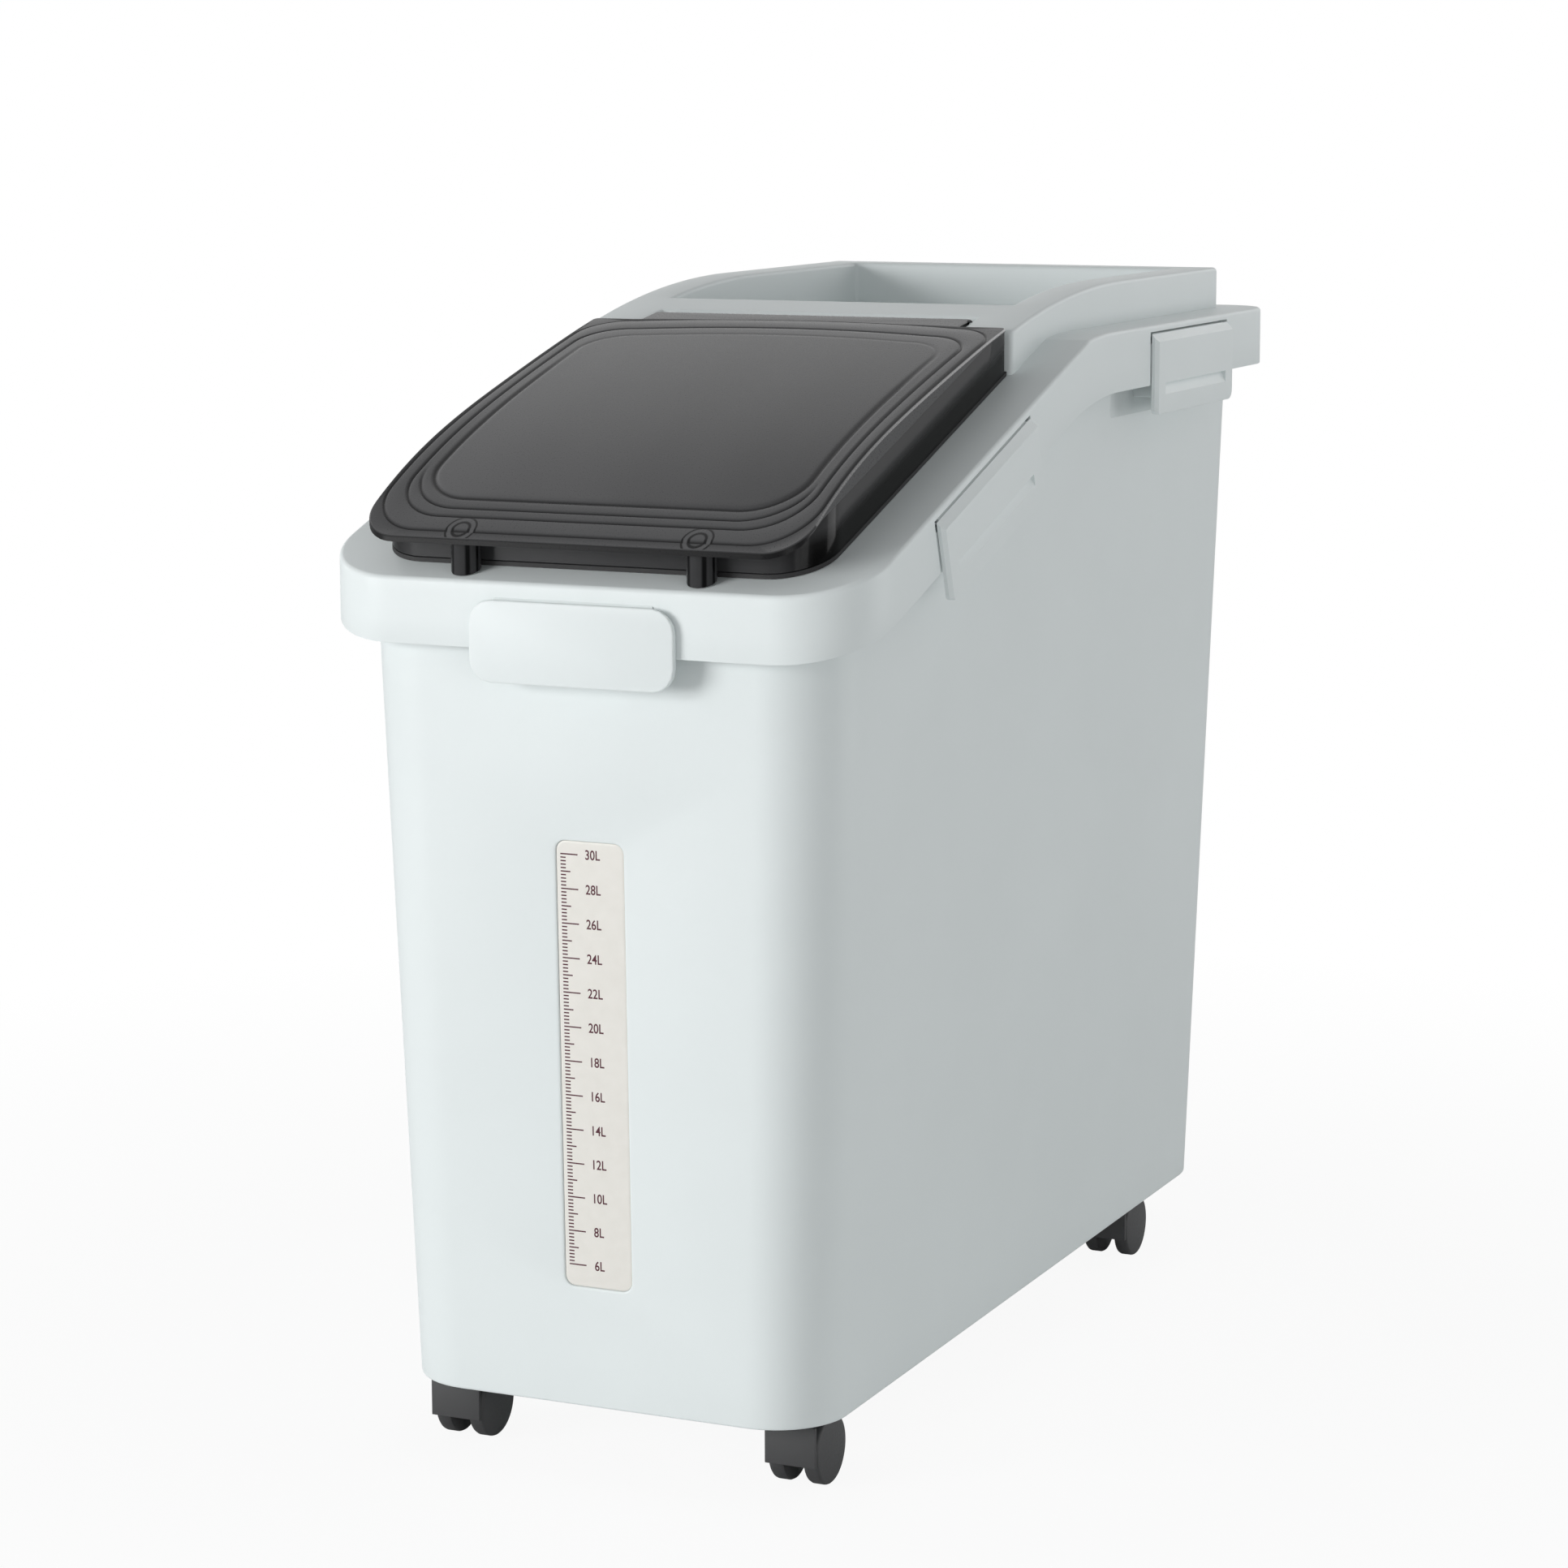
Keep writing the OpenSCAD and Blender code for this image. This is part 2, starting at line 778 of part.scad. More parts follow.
module side_latch(side, start, length, tilt) {
    bottom = skirt_h * cos(tilt) + latch_hang;
    color(shell)
        latch_frame([side], start, length, tilt)
            difference() {
                union() {
                    latch_plate(latch_top, latch_bevel, bottom, length);
                    latch_barrel(side_hinge, hinge_up, length - 2 * barrel_end);
                    latch_hook(tilt, length - 2 * hook_end);
                }
                hinge_rod(pin_r + run_fit, side_hinge, 2 * length);
                translate([pass_gap + latch_t - groove_t, groove_end - length / 2, groove_up - bottom])
                    cube([over, length - 2 * groove_end, groove_h]);
            }
}

module latch_pin(side, start, length, tilt) {
    color(steel)
        latch_frame([side], start, length, tilt)
            hinge_rod(pin_r, side_hinge, length + 2 * pin_end - pin_play);
}

module front_latch() {
    bottom = skirt_h + latch_hang;
    height = bottom - front_plate_top;
    relief = (front_barrel + front_plate_w) / 2 + pocket_gap - relief_lap;
    color(shell)
        front_frame()
            difference() {
                union() {
                    intersection() {
                        latch_plate(front_plate_top, 0, bottom, front_plate_w);
                        translate([0, 0, -bottom + height / 2])
                            rotate([90, 0, 90])
                                linear_extrude(over + latch_t)
                                    plan(front_plate_w, height, front_plate_corner, front_plate_corner);
                    }
                    latch_barrel(front_hinge, front_hinge_up, front_barrel);
                    latch_hook(0, front_plate_w - 2 * hook_end);
                }
                hinge_rod(pin_r + run_fit, front_hinge, front_plate_w);
                for (side = [-1, 1])
                    translate([-over, side * relief - front_plate_w / 2, -front_hinge - relief_drop])
                        cube([over + relief_out, front_plate_w, front_hinge]);
            }
}

module front_latch_pin() {
    color(steel)
        front_frame()
            hinge_rod(pin_r, front_hinge, front_barrel + 2 * pin_end - pin_play);
}

module at_caster(spot) {
    translate([spot[0], spot[1], 0])
        children();
}

module stem_socket(spot) {
    color(rubber)
        at_caster(spot)
            difference() {
                union() {
                    translate([0, 0, socket_z - socket_flange_t])
                        cylinder(r = socket_r + socket_flange, h = socket_flange_t);
                    translate([0, 0, socket_z - socket_flange_t])
                        cylinder(r = socket_r, h = stem_top - socket_z + socket_flange_t);
                }
                translate([0, 0, tub_z])
                    cylinder(r = stem_r + run_fit, h = floor_rise);
            }
}

// Web between the wheels, guard plate ahead of them and collar under the socket
module caster_body(spot) {
    guard_y = -trail - wheel_r - guard_gap;
    color(caster_grey)
        at_caster(spot)
            difference() {
                union() {
                    across([
                        [guard_y, guard_z],
                        [guard_y, wheel_d - guard_gap],
                        [swivel_r, wheel_d - guard_gap],
                        [swivel_r, wheel_r],
                        [-trail, wheel_r - axle_r - boss_wall],
                        [-trail - axle_r, guard_z]], body_w);
                    translate([-pair_w / 2, guard_y - guard_t, guard_z])
                        cube([pair_w, guard_t, wheel_d - guard_gap - guard_z]);
                    translate([0, 0, wheel_d - wheel_gap / 2])
                        cylinder(r = swivel_r, h = swivel_top - wheel_d + wheel_gap / 2);
                    translate([-body_w / 2, -swivel_r / 2, wheel_r])
                        cube([body_w, swivel_r, wheel_r]);
                }
                translate([0, -trail, wheel_r])
                    rod(axle_r + press_fit, 2 * body_w);
                translate([0, 0, stem_bottom])
                    cylinder(r = stem_r + press_fit, h = tub_z);
            }
}

module caster_stem(spot) {
    color(steel)
        at_caster(spot)
            translate([0, 0, stem_bottom])
                cylinder(r = stem_r, h = stem_top - stem_bottom - stem_gap);
}

module axle(spot) {
    color(steel)
        at_caster(spot)
            translate([0, -trail, wheel_r])
                rod(axle_r, 2 * (wheel_side + wheel_w - wheel_face) - pin_play);
}

module wheel(spot, side) {
    color(caster_grey)
        at_caster(spot)
            translate([side * wheel_side, -trail, wheel_r])
                rotate([0, side * 90, 0])
                    rotate_extrude()
                        polygon([
                            [axle_r + run_fit, 0],
                            [wheel_r - wheel_edge, 0],
                            [wheel_r, wheel_edge],
                            [wheel_r, wheel_w - wheel_edge],
                            [wheel_r - wheel_edge, wheel_w],
                            [0, wheel_w],
                            [0, wheel_w - wheel_face],
                            [axle_r + run_fit, wheel_w - wheel_face]]);
}

tub();
sight_window();
cover();
cover_seal();
flip_lid();
lid_seal();
lid_bumper(-1);  // lid_bumper_left
lid_bumper(1);  // lid_bumper_right
lid_hinge_pin(-1);  // lid_hinge_pin_left
lid_hinge_pin(1);  // lid_hinge_pin_right
side_latch(-1, front_latch_start, front_latch_len, slope);  // latch_left_front
side_latch(1, front_latch_start, front_latch_len, slope);  // latch_right_front
side_latch(-1, rear_latch_start, rear_latch_len, 0);  // latch_left_rear
side_latch(1, rear_latch_start, rear_latch_len, 0);  // latch_right_rear
front_latch();
latch_pin(-1, front_latch_start, front_latch_len, slope);  // latch_pin_left_front
latch_pin(1, front_latch_start, front_latch_len, slope);  // latch_pin_right_front
latch_pin(-1, rear_latch_start, rear_latch_len, 0);  // latch_pin_left_rear
latch_pin(1, rear_latch_start, rear_latch_len, 0);  // latch_pin_right_rear
front_latch_pin();
stem_socket(caster_spots[0]);  // stem_socket_front_left
stem_socket(caster_spots[1]);  // stem_socket_front_right
stem_socket(caster_spots[2]);  // stem_socket_rear_left
stem_socket(caster_spots[3]);  // stem_socket_rear_right
caster_body(caster_spots[0]);  // caster_body_front_left
caster_body(caster_spots[1]);  // caster_body_front_right
caster_body(caster_spots[2]);  // caster_body_rear_left
caster_body(caster_spots[3]);  // caster_body_rear_right
caster_stem(caster_spots[0]);  // caster_stem_front_left
caster_stem(caster_spots[1]);  // caster_stem_front_right
caster_stem(caster_spots[2]);  // caster_stem_rear_left
caster_stem(caster_spots[3]);  // caster_stem_rear_right
axle(caster_spots[0]);  // axle_front_left
axle(caster_spots[1]);  // axle_front_right
axle(caster_spots[2]);  // axle_rear_left
axle(caster_spots[3]);  // axle_rear_right
wheel(caster_spots[0], -1);  // wheel_front_left_outer
wheel(caster_spots[0], 1);  // wheel_front_left_inner
wheel(caster_spots[1], -1);  // wheel_front_right_inner
wheel(caster_spots[1], 1);  // wheel_front_right_outer
wheel(caster_spots[2], -1);  // wheel_rear_left_outer
wheel(caster_spots[2], 1);  // wheel_rear_left_inner
wheel(caster_spots[3], -1);  // wheel_rear_right_inner
wheel(caster_spots[3], 1);  // wheel_rear_right_outer
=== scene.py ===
import math

import bmesh
import bpy
import numpy as np
from mathutils import Matrix, Vector


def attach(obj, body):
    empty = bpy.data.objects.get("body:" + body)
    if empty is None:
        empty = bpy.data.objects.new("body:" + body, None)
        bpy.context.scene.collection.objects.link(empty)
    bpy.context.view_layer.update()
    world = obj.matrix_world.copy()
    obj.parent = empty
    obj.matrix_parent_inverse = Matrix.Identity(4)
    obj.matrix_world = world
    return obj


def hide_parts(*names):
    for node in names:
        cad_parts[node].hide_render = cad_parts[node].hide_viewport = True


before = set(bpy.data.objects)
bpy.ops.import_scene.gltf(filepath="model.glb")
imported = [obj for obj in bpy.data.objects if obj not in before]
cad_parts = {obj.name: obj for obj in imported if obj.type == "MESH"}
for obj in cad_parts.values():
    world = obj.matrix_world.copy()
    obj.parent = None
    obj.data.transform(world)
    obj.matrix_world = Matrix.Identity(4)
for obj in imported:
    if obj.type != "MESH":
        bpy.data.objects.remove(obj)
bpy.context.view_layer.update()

MM = 0.001
SIDES = (-1, 1)

# Tub, with its window and the bosses of the casters' sockets
TUB_W, TUB_D, TUB_Z, TUB_CORNER = 222.0, 550.0, 35.0, 36.0
SIDE_LEAN, END_LEAN = math.radians(1.72), math.radians(1.35)
TUB_WALL, FLOOR_Z, FLOOR_T, FLOOR_R = 2.6, 52.0, 3.0, 6.0
RIM_W, RIM_D, RIM_DROP, RIM_T = 265.072, 574.772, 4.6, 3.0
WINDOW_W, WINDOW_H, WINDOW_RISE, WINDOW_CORNER, FLANGE = 35.0, 214.0, 59.0, 5.0, 4.0
SOCKET_R, BOSS_R, BOSS_Z = 6.05, 10.0, 38.6

# Cover, with its deck's side profile, its tray fence and the collar round its mouth
COVER_W, COVER_D, COVER_WALL, SKIRT_H = 279.272, 588.972, 2.6, 31.0
FRONT_Y, DECK_Y, FRONT_Z, REAR_Z = -294.486, 6.624, 428.0, 527.0
SLOPE = math.atan((REAR_Z - FRONT_Z) / (DECK_Y - FRONT_Y))
CREASE, CREASE_R, SKIRT_R = math.radians(8), 230.0, 220.0
COVER_FRONT_R, COVER_REAR_R, DECK_EDGE_R = 43.0, 26.0, 2.0
FENCE_W, FENCE_Y, FENCE_END, FENCE_TOP, FENCE_RAIL = 231.272, -45.376, 268.486, 549.0, 21.0
FENCE_ARC, CROWN_Y, BAR_Y, BAR_D = 706.0, 111.624, -20.376, 28.0
FENCE_EDGE_R, FENCE_SINK, FENCE_STEP = 2.2, 1.5, 7.0
COLLAR_IN, COLLAR_H, MOUTH_R = 16.5, 9.0, 26.0

# Flip lid
LID_W, LIP_Y, LID_Y, LID_CORNER, LID_T = 227.272, -295.086, -46.876, 20.0, 3.0
ARC_Y, ARC_Z, ARC_R, FULLER, TOP_SINK = 73.0926, -217.061, 760.0, 2.6, 0.35
TONGUE_W, TONGUE_GAP, PIVOT_Y, PIVOT_Z = 173.272, 0.4, -29.376, 529.999
BARREL_R, LID_PIN_R, EYE_T, EYE_L = 6.0, 2.5, 1.6, 10.0
WALL_W, WALL_FRONT, WALL_R, RIM_RISE = 226.272, -278.586, 26.0, 25.0
POST_X, POST_Y, POST_R, BUMPER_R = 60.0, -284.586, 7.0, 4.0
RING_Y = -289.2
SEAL_LIFT, SEAL_H = 0.3, 2.0
# Outlines on the lid: half width, front, rear, front and rear corner radius, bow of the rear
OUTER_GROOVE = (111.0, -290.5, -49.5, 27, 24, 8.5)
MIDDLE_GROOVE = (104.0, -281.0, -64.5, 28, 24, 7.5)
INNER_GROOVE = (100.5, -275.2, -70.0, 29, 24, 7.0)
PANEL = (95.6, -267.8, -76.0, 26, 24, 6.5)
# A groove's depth and half width; where the inner groove and the panel's step fade out, and over what length
GROOVE_DEEP, GROOVE_HALF, INNER_END, INNER_FADE, STEP_END, STEP_FADE = 0.9, 0.8, -246.0, 14.0, -85.0, 60.0
# Where the rim's chamfer begins along the sides, and over what length it grows
CHAMFER_Y, CHAMFER_RUN, CHAMFER_X, CHAMFER_TURN = -286.0, 14.0, 100.0, 8.0

# Latches; a side latch's seat is its start along the deck, its length and its tilt
REAR_LATCH = (84.0, 122.0, 0.0)
FRONT_LATCH = (95.0, 125.0, SLOPE)
SEATS = (REAR_LATCH, FRONT_LATCH)
LATCH_T, LATCH_TOP, LATCH_HANG, PASS_GAP = 3.6, 4.5, 15.0, 0.4
HINGE_R, HINGE_BORE, HINGE_IN, SIDE_HINGE = 2.4, 1.25, 1.9, 6.5
PLATE_W, PLATE_R, PLATE_TOP, PLATE_HINGE = 104.0, 11.0, 7.8, 8.4
POCKET_IN, POCKET_UNDER, POCKET_ROOF, POCKET_PLAY, POCKET_BACK = 4.7, 2.8, 3.3, 1.1, 1.8
FRONT_POCKET, FRONT_ROOF, SLOT_IN, SLOT_W, PAST_SKIRT = 40.6, 0.9, 2.2, 1.6, 5.0
BACK_PAST, SIDE_BACK_TOP, FRONT_BACK, FRONT_BACK_TOP = 8.0, 1.3, 49.0, 3.0
KEEPER_OUT, KEEPER_H, KEEPER_SHORT, SIDE_REACH, FRONT_REACH, RIM_GAP = 5.0, 7.0, 20.0, 19.0, 13.0, 0.6
HOOK_GRIP, HOOK_H, HOOK_GAP, HOOK_SHORT = 4.0, 5.0, 0.3, 60.0
SCOOP_PAST, SCOOP_LOW, SCOOP_HIGH = 20.0, -48.5, -20.0

# Printed scale: height of its top mark, marks, their spacing, marks from number to number, litres at the top
SCALE_TOP, TICKS, TICK_STEP, TICKS_A_NUMBER, TOP_LITRES = 266.6, 121, 1.6426, 10, 30
# Its left edge, its depth in the wall, and the height and the squeeze of its figures
SCALE_LEFT, SCALE_IN, FIGURE_H, FIGURE_SQUEEZE = -15.2, 0.79, 6.4, 0.82

# Casters
WHEEL_R, WHEEL_W, WHEEL_SIDE, TRAIL, AXLE_R = 17.0, 8.0, 5.0, 14.0, 2.5
CASTERS = {
    "front_left": (-89.0, -221.5), "front_right": (89.0, -221.5),
    "rear_left": (-89.0, 205.0), "rear_right": (89.0, 205.0),
}

# Lamps in metres and watts: name, place, aim, width, height, power
LAMPS = (
    ("key_front_left", (-3.0, -3.8, 0.75), (0, 0, 0.28), 2.2, 2.2, 170.0),
    ("fill_right_front", (2.2, -1.8, 0.4), (0, 0, 0.28), 1.2, 1.0, 10.0),
    ("fill_right_rear", (2.3, 1.3, 0.35), (0, 0, 0.28), 1.2, 1.0, 11.0),
    ("edge_rear", (0.82, 2.15, 1.39), (0.11, -0.18, 0.5), 1.2, 0.8, 4.5),
)
FLOOR_HALF = 9000

# The photograph's camera: its place in metres, its angles, and its focal length and picture in pixels
EYE = (0.86683, -1.97935, 0.65834)
YAW, RISE, ROLL = math.radians(24.342), math.radians(9.637), math.radians(-0.152)
FOCAL, PICTURE, SENSOR = 5187.04, 1932, 36.0


def srgb(code):
    """A hex colour as linear red, green, blue and alpha."""
    parts = [int(code[i:i + 2], 16) / 255 for i in (0, 2, 4)]
    return tuple(c / 12.92 if c <= 0.04045 else ((c + 0.055) / 1.055) ** 2.4 for c in parts) + (1.0,)


def add(tree, kind, inputs=None, **settings):
    """Adds one node: settings are its properties, and an input gets a value or comes from a node or output."""
    made = tree.nodes.new(kind)
    for key, value in settings.items():
        setattr(made, key, value)
    for key, given in (inputs or {}).items():
        if isinstance(given, (bpy.types.Node, bpy.types.NodeSocket)):
            link(tree, given, made, key)
        else:
            made.inputs[key].default_value = given
    return made


def link(tree, source, node, key):
    """Links an output, or a node's first output in use, to an input of a node."""
    if isinstance(source, bpy.types.Node):
        source = next(s for s in source.outputs if s.enabled)
    tree.links.new(source, node.inputs[key])


def maths(tree, operation, *terms, **settings):
    """One operation on numbers and outputs."""
    return add(tree, "ShaderNodeMath", dict(enumerate(terms)), operation=operation, **settings)


def ramp(tree, value, low, high, start=0.0, end=1.0):
    """Carries a value that goes from low to high over to one that goes from start to end."""
    return add(tree, "ShaderNodeMapRange",
               {"Value": value, "From Min": low, "From Max": high, "To Min": start, "To Max": end})


def mixed(tree, share, a, b):
    """Mixes two colours by the second one's share."""
    return add(tree, "ShaderNodeMix", {"Factor": share, "A": a, "B": b}, data_type="RGBA")


def per_metre(size):
    """Texture scale for a pattern whose features are this many millimetres wide."""
    return 1000.0 / size


def bend_start(r, rise):
    """Where along the cover a bend of this radius begins, if it starts this steep."""
    return DECK_Y - r * (1 - math.cos(rise)) / math.tan(SLOPE)


def bent(y, r, rise):
    """Height of a line along the cover: a slope, a bend that starts this steep and a level rear."""
    start = bend_start(r, rise)
    end = start + r * math.sin(rise)
    slope = FRONT_Z + (y - FRONT_Y) * math.tan(SLOPE)
    bend = REAR_Z - r + np.sqrt(np.maximum(r ** 2 - (end - y) ** 2, 0))
    return np.where(y <= start, slope, np.where(y >= end, REAR_Z, bend))


def deck(y):
    """Height of the cover's deck, with its crease behind the slope."""
    return bent(y, CREASE_R, CREASE)


def arch(y, drop):
    """Height of the lid's arched top, lowered by drop."""
    return ARC_Z + np.sqrt((ARC_R - drop) ** 2 - (ARC_Y - y) ** 2)


def fence_height(y):
    """Height of the tray fence: an arc that runs out into a level top."""
    return FENCE_TOP - FENCE_ARC + np.sqrt(FENCE_ARC ** 2 - np.maximum(CROWN_Y - y, 0) ** 2)


# Outlines are rows of X and Y, and shapes are pairs of points and faces, all in millimetres
def mirrored(right):
    """A right half from front to rear and then its mirror: point i faces point N-1-i."""
    return np.vstack([right, right[::-1] * (-1, 1)])


def loop(half_w, front, rear, front_r, rear_r, sides=48, corner=12, flank=None):
    """Rounded outline; flank gives the places of its points along the sides."""
    turn = np.radians(np.linspace(-90, 0, corner + 1))
    near = np.stack([half_w - front_r + front_r * np.cos(turn), front + front_r + front_r * np.sin(turn)], 1)
    y = np.linspace(front + front_r, rear - rear_r, sides + 1)[1:-1] if flank is None else flank
    side = np.stack([np.full_like(y, half_w), y], 1)
    turn = turn + math.pi / 2
    far = np.stack([half_w - rear_r + rear_r * np.cos(turn), rear - rear_r + rear_r * np.sin(turn)], 1)
    return mirrored(np.vstack([near, side, far]))


def circle(r, steps):
    """Round outline about the middle."""
    a = np.linspace(0, 2 * math.pi, steps, endpoint=False)
    return np.stack([r * np.cos(a), r * np.sin(a)], 1)


def inset(outline, amount):
    """The outline drawn in along its corners' normals."""
    edges = outline - np.roll(outline, 1, 0), np.roll(outline, -1, 0) - outline
    na, nb = (np.stack([-e[:, 1], e[:, 0]], 1) / np.maximum(np.hypot(*e.T), 1e-9)[:, None] for e in edges)
    reach = 1 / np.maximum(0.5 * (1 + (na * nb).sum(1)), 0.3)
    return outline + (na + nb) / 2 * (reach * amount)[:, None]


def ring(outline, z):
    """Points of an outline at one height or at a height for each point."""
    return np.column_stack([outline, np.broadcast_to(z, len(outline))])


def on_deck(outline, rise):
    """Points of an outline that lies this far above the deck."""
    return ring(outline, deck(outline[:, 1]) + rise)


def strips(n, base, flip=False):
    """Faces across a loop whose point i faces point N-1-i."""
    rows = [(base + i, base + i + 1, base + n - 2 - i, base + n - 1 - i) for i in range(n // 2 - 1)]
    return [r[::-1] for r in rows] if flip else rows


def skin(rings, caps=True, closed=False):
    """Walls between rings in order, closed to a tube or with flat strips across the first and the last ring."""
    n, last = len(rings[0]), len(rings) - 1
    faces = []
    for low, high in [(k, k + 1) for k in range(last)] + ([(last, 0)] if closed else []):
        for i in range(n):
            j = (i + 1) % n
            faces.append((low * n + i, low * n + j, high * n + j, high * n + i))
    if caps and not closed:
        faces += strips(n, 0, True) + strips(n, last * n)
    return np.vstack(rings), faces


def lathe(profile, steps=48):
    """A turned shape about Z from points (radius, height), closed along its profile."""
    return skin([ring(circle(r, steps), height) for r, height in profile], closed=True)


def merged(*shapes):
    """Several shapes as one."""
    points, faces, base = [], [], 0
    for p, f in shapes:
        points.append(np.asarray(p, float))
        faces += [tuple(base + i for i in face) for face in f]
        base += len(p)
    return np.vstack(points), faces


def placed(shape, matrix):
    """The shape moved by a matrix; a mirrored one is turned the right way out again."""
    points, faces = shape
    m = np.array(matrix)
    moved = np.asarray(points) @ m[:3, :3].T + m[:3, 3]
    return moved, ([f[::-1] for f in faces] if np.linalg.det(m[:3, :3]) < 0 else faces)


def sideways(place, side=1):
    """Matrix that lays a turned shape's axis along X at a place, towards one side."""
    return Matrix.Translation(place) @ Matrix.Rotation(side * math.pi / 2, 4, "Y")


def in_metres(matrix):
    """A matrix for shapes in millimetres as one for meshes in metres."""
    return Matrix.Diagonal((MM, MM, MM, 1)) @ matrix @ Matrix.Diagonal((1 / MM, 1 / MM, 1 / MM, 1))


def block(low, high, r):
    """Box with rounded edges."""
    low, high = np.array(low, float), np.array(high, float)
    r = min(r, (high - low).min() * 0.45)
    x0, y0, z0 = low
    x1, y1, z1 = high
    rows = []
    for draw, z in ((r, z0), (r * 0.3, z0 + r * 0.3), (0, z0 + r),
                    (0, z1 - r), (r * 0.3, z1 - r * 0.3), (r, z1)):
        outline = loop((x1 - x0) / 2 - draw, y0 + draw, y1 - draw, r, r, sides=2, corner=3)
        rows.append(ring(outline + ((x0 + x1) / 2, 0), z))
    return skin(rows)


def mesh_of(name, shape):
    """A mesh in metres from a shape in millimetres."""
    points, faces = shape
    mesh = bpy.data.meshes.new(name)
    mesh.from_pydata((np.asarray(points) * MM).tolist(), [], [list(f) for f in faces])
    mesh.validate()
    return mesh


def in_scene(name, data):
    """A new object of the scene from its mesh, words, lamp or camera."""
    made = bpy.data.objects.new(name, data)
    bpy.context.scene.collection.objects.link(made)
    return made


def thing(name, shape):
    """A shape as an object of the scene."""
    return in_scene(name, mesh_of(name, shape))


def discard(obj):
    """Removes an object with its mesh."""
    mesh = obj.data
    bpy.data.objects.remove(obj)
    bpy.data.meshes.remove(mesh)


def plain_mesh(obj):
    """An object's final shape as a plain mesh."""
    graph = bpy.context.evaluated_depsgraph_get()
    return bpy.data.meshes.new_from_object(obj.evaluated_get(graph), depsgraph=graph)


def settled(obj):
    """Applies the object's modifiers, so that it is a plain mesh."""
    plain, old = plain_mesh(obj), obj.data
    obj.modifiers.clear()
    obj.data = plain
    bpy.data.meshes.remove(old)
    plain.name = obj.name


def cut(obj, shape):
    """Cuts a closed shape out of an object."""
    tool = thing("cutter", shape)
    step = obj.modifiers.new("cut", "BOOLEAN")
    step.operation, step.solver, step.object = "DIFFERENCE", "EXACT", tool
    settled(obj)
    discard(tool)


def joined(obj, *shapes):
    """Adds the faces of shapes to an object's mesh."""
    other = mesh_of("extra", merged(*shapes))
    work = bmesh.new()
    work.from_mesh(obj.data)
    work.from_mesh(other)
    work.to_mesh(obj.data)
    work.free()
    bpy.data.meshes.remove(other)


def rounded(obj, width, steps, angle, flatten=False, keep=None):
    """Rounds an object's edges that are sharper than an angle and that keep lets through; flatten first
    joins the triangles of its flat faces."""
    work = bmesh.new()
    work.from_mesh(obj.data)
    bmesh.ops.remove_doubles(work, verts=work.verts, dist=2e-6)
    if flatten:
        bmesh.ops.dissolve_limit(work, angle_limit=math.radians(1), verts=work.verts, edges=work.edges)
    edges = [e for e in work.edges
             if e.is_manifold and e.calc_face_angle(0) > math.radians(angle) and (not keep or keep(e))]
    bmesh.ops.bevel(work, geom=edges, offset=width * MM, segments=steps, profile=0.5, affect="EDGES",
                    clamp_overlap=True)
    work.to_mesh(obj.data)
    work.free()


def dress(obj, finish, body, slot, *nodes, crease=32):
    """Gives a piece its finish, its body and the solids that it stands for; slot is not used."""
    shaded(obj, finish, crease)
    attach(obj, body)
    if nodes:
        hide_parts(*nodes)


def shaded(obj, finish, crease):
    """Gives an object its finish, smooth but for the edges that are sharper than the crease."""
    obj.data.materials.clear()
    obj.data.materials.append(finish)
    obj.data.shade_smooth()
    obj.data.set_sharp_from_angle(angle=math.radians(crease))


def emptied(owner):
    """The node tree of a material or world, with nothing in it."""
    owner.use_nodes = True
    owner.node_tree.nodes.clear()
    return owner.node_tree


def blank(name, values):
    """A new node material, with its tree, its shader and the coordinates that its patterns read."""
    made = bpy.data.materials.new(name)
    made.use_nodes = True
    tree = made.node_tree
    shader = next(n for n in tree.nodes if n.type == "BSDF_PRINCIPLED")
    for key, value in values.items():
        shader.inputs[key].default_value = value
    return made, tree, shader, add(tree, "ShaderNodeTexCoord").outputs["Object"]


def grain(tree, shader, where, wide, detail, gloss, strength=0.0, relief=0.05, uneven=0.5):
    """Grain this many millimetres wide that shifts the roughness between two values and raises the surface.
    Gives its share, from which tones are mixed."""
    share = add(tree, "ShaderNodeTexNoise",
                {"Vector": where, "Scale": per_metre(wide), "Detail": detail, "Roughness": uneven})
    link(tree, ramp(tree, share, 0.3, 0.7, *gloss), shader, "Roughness")
    if strength:
        bump = add(tree, "ShaderNodeBump", {"Height": share, "Strength": strength, "Distance": relief * MM})
        link(tree, bump, shader, "Normal")
    return share


def white_polypropylene():
    """Injection-moulded polypropylene: cool white, satin, with a faint eggshell grain from the mould."""
    made, tree, shader, where = blank("polypropylene_white_moulded", {"IOR": 1.49, "Specular IOR Level": 0.3})
    # Slow shifts of tone where the wall cooled, about 90 mm wide
    drift = add(tree, "ShaderNodeTexNoise", {"Vector": where, "Scale": per_metre(90), "Detail": 2.0})
    link(tree, mixed(tree, drift, srgb("E4EAEA"), srgb("EAF0F0")), shader, "Base Color")
    # Mould grain, really about 0.3 mm, drawn 1.1 mm wide so that it shows
    grain(tree, shader, where, 1.1, 3.0, (0.36, 0.46), 0.12, uneven=0.6)
    return made


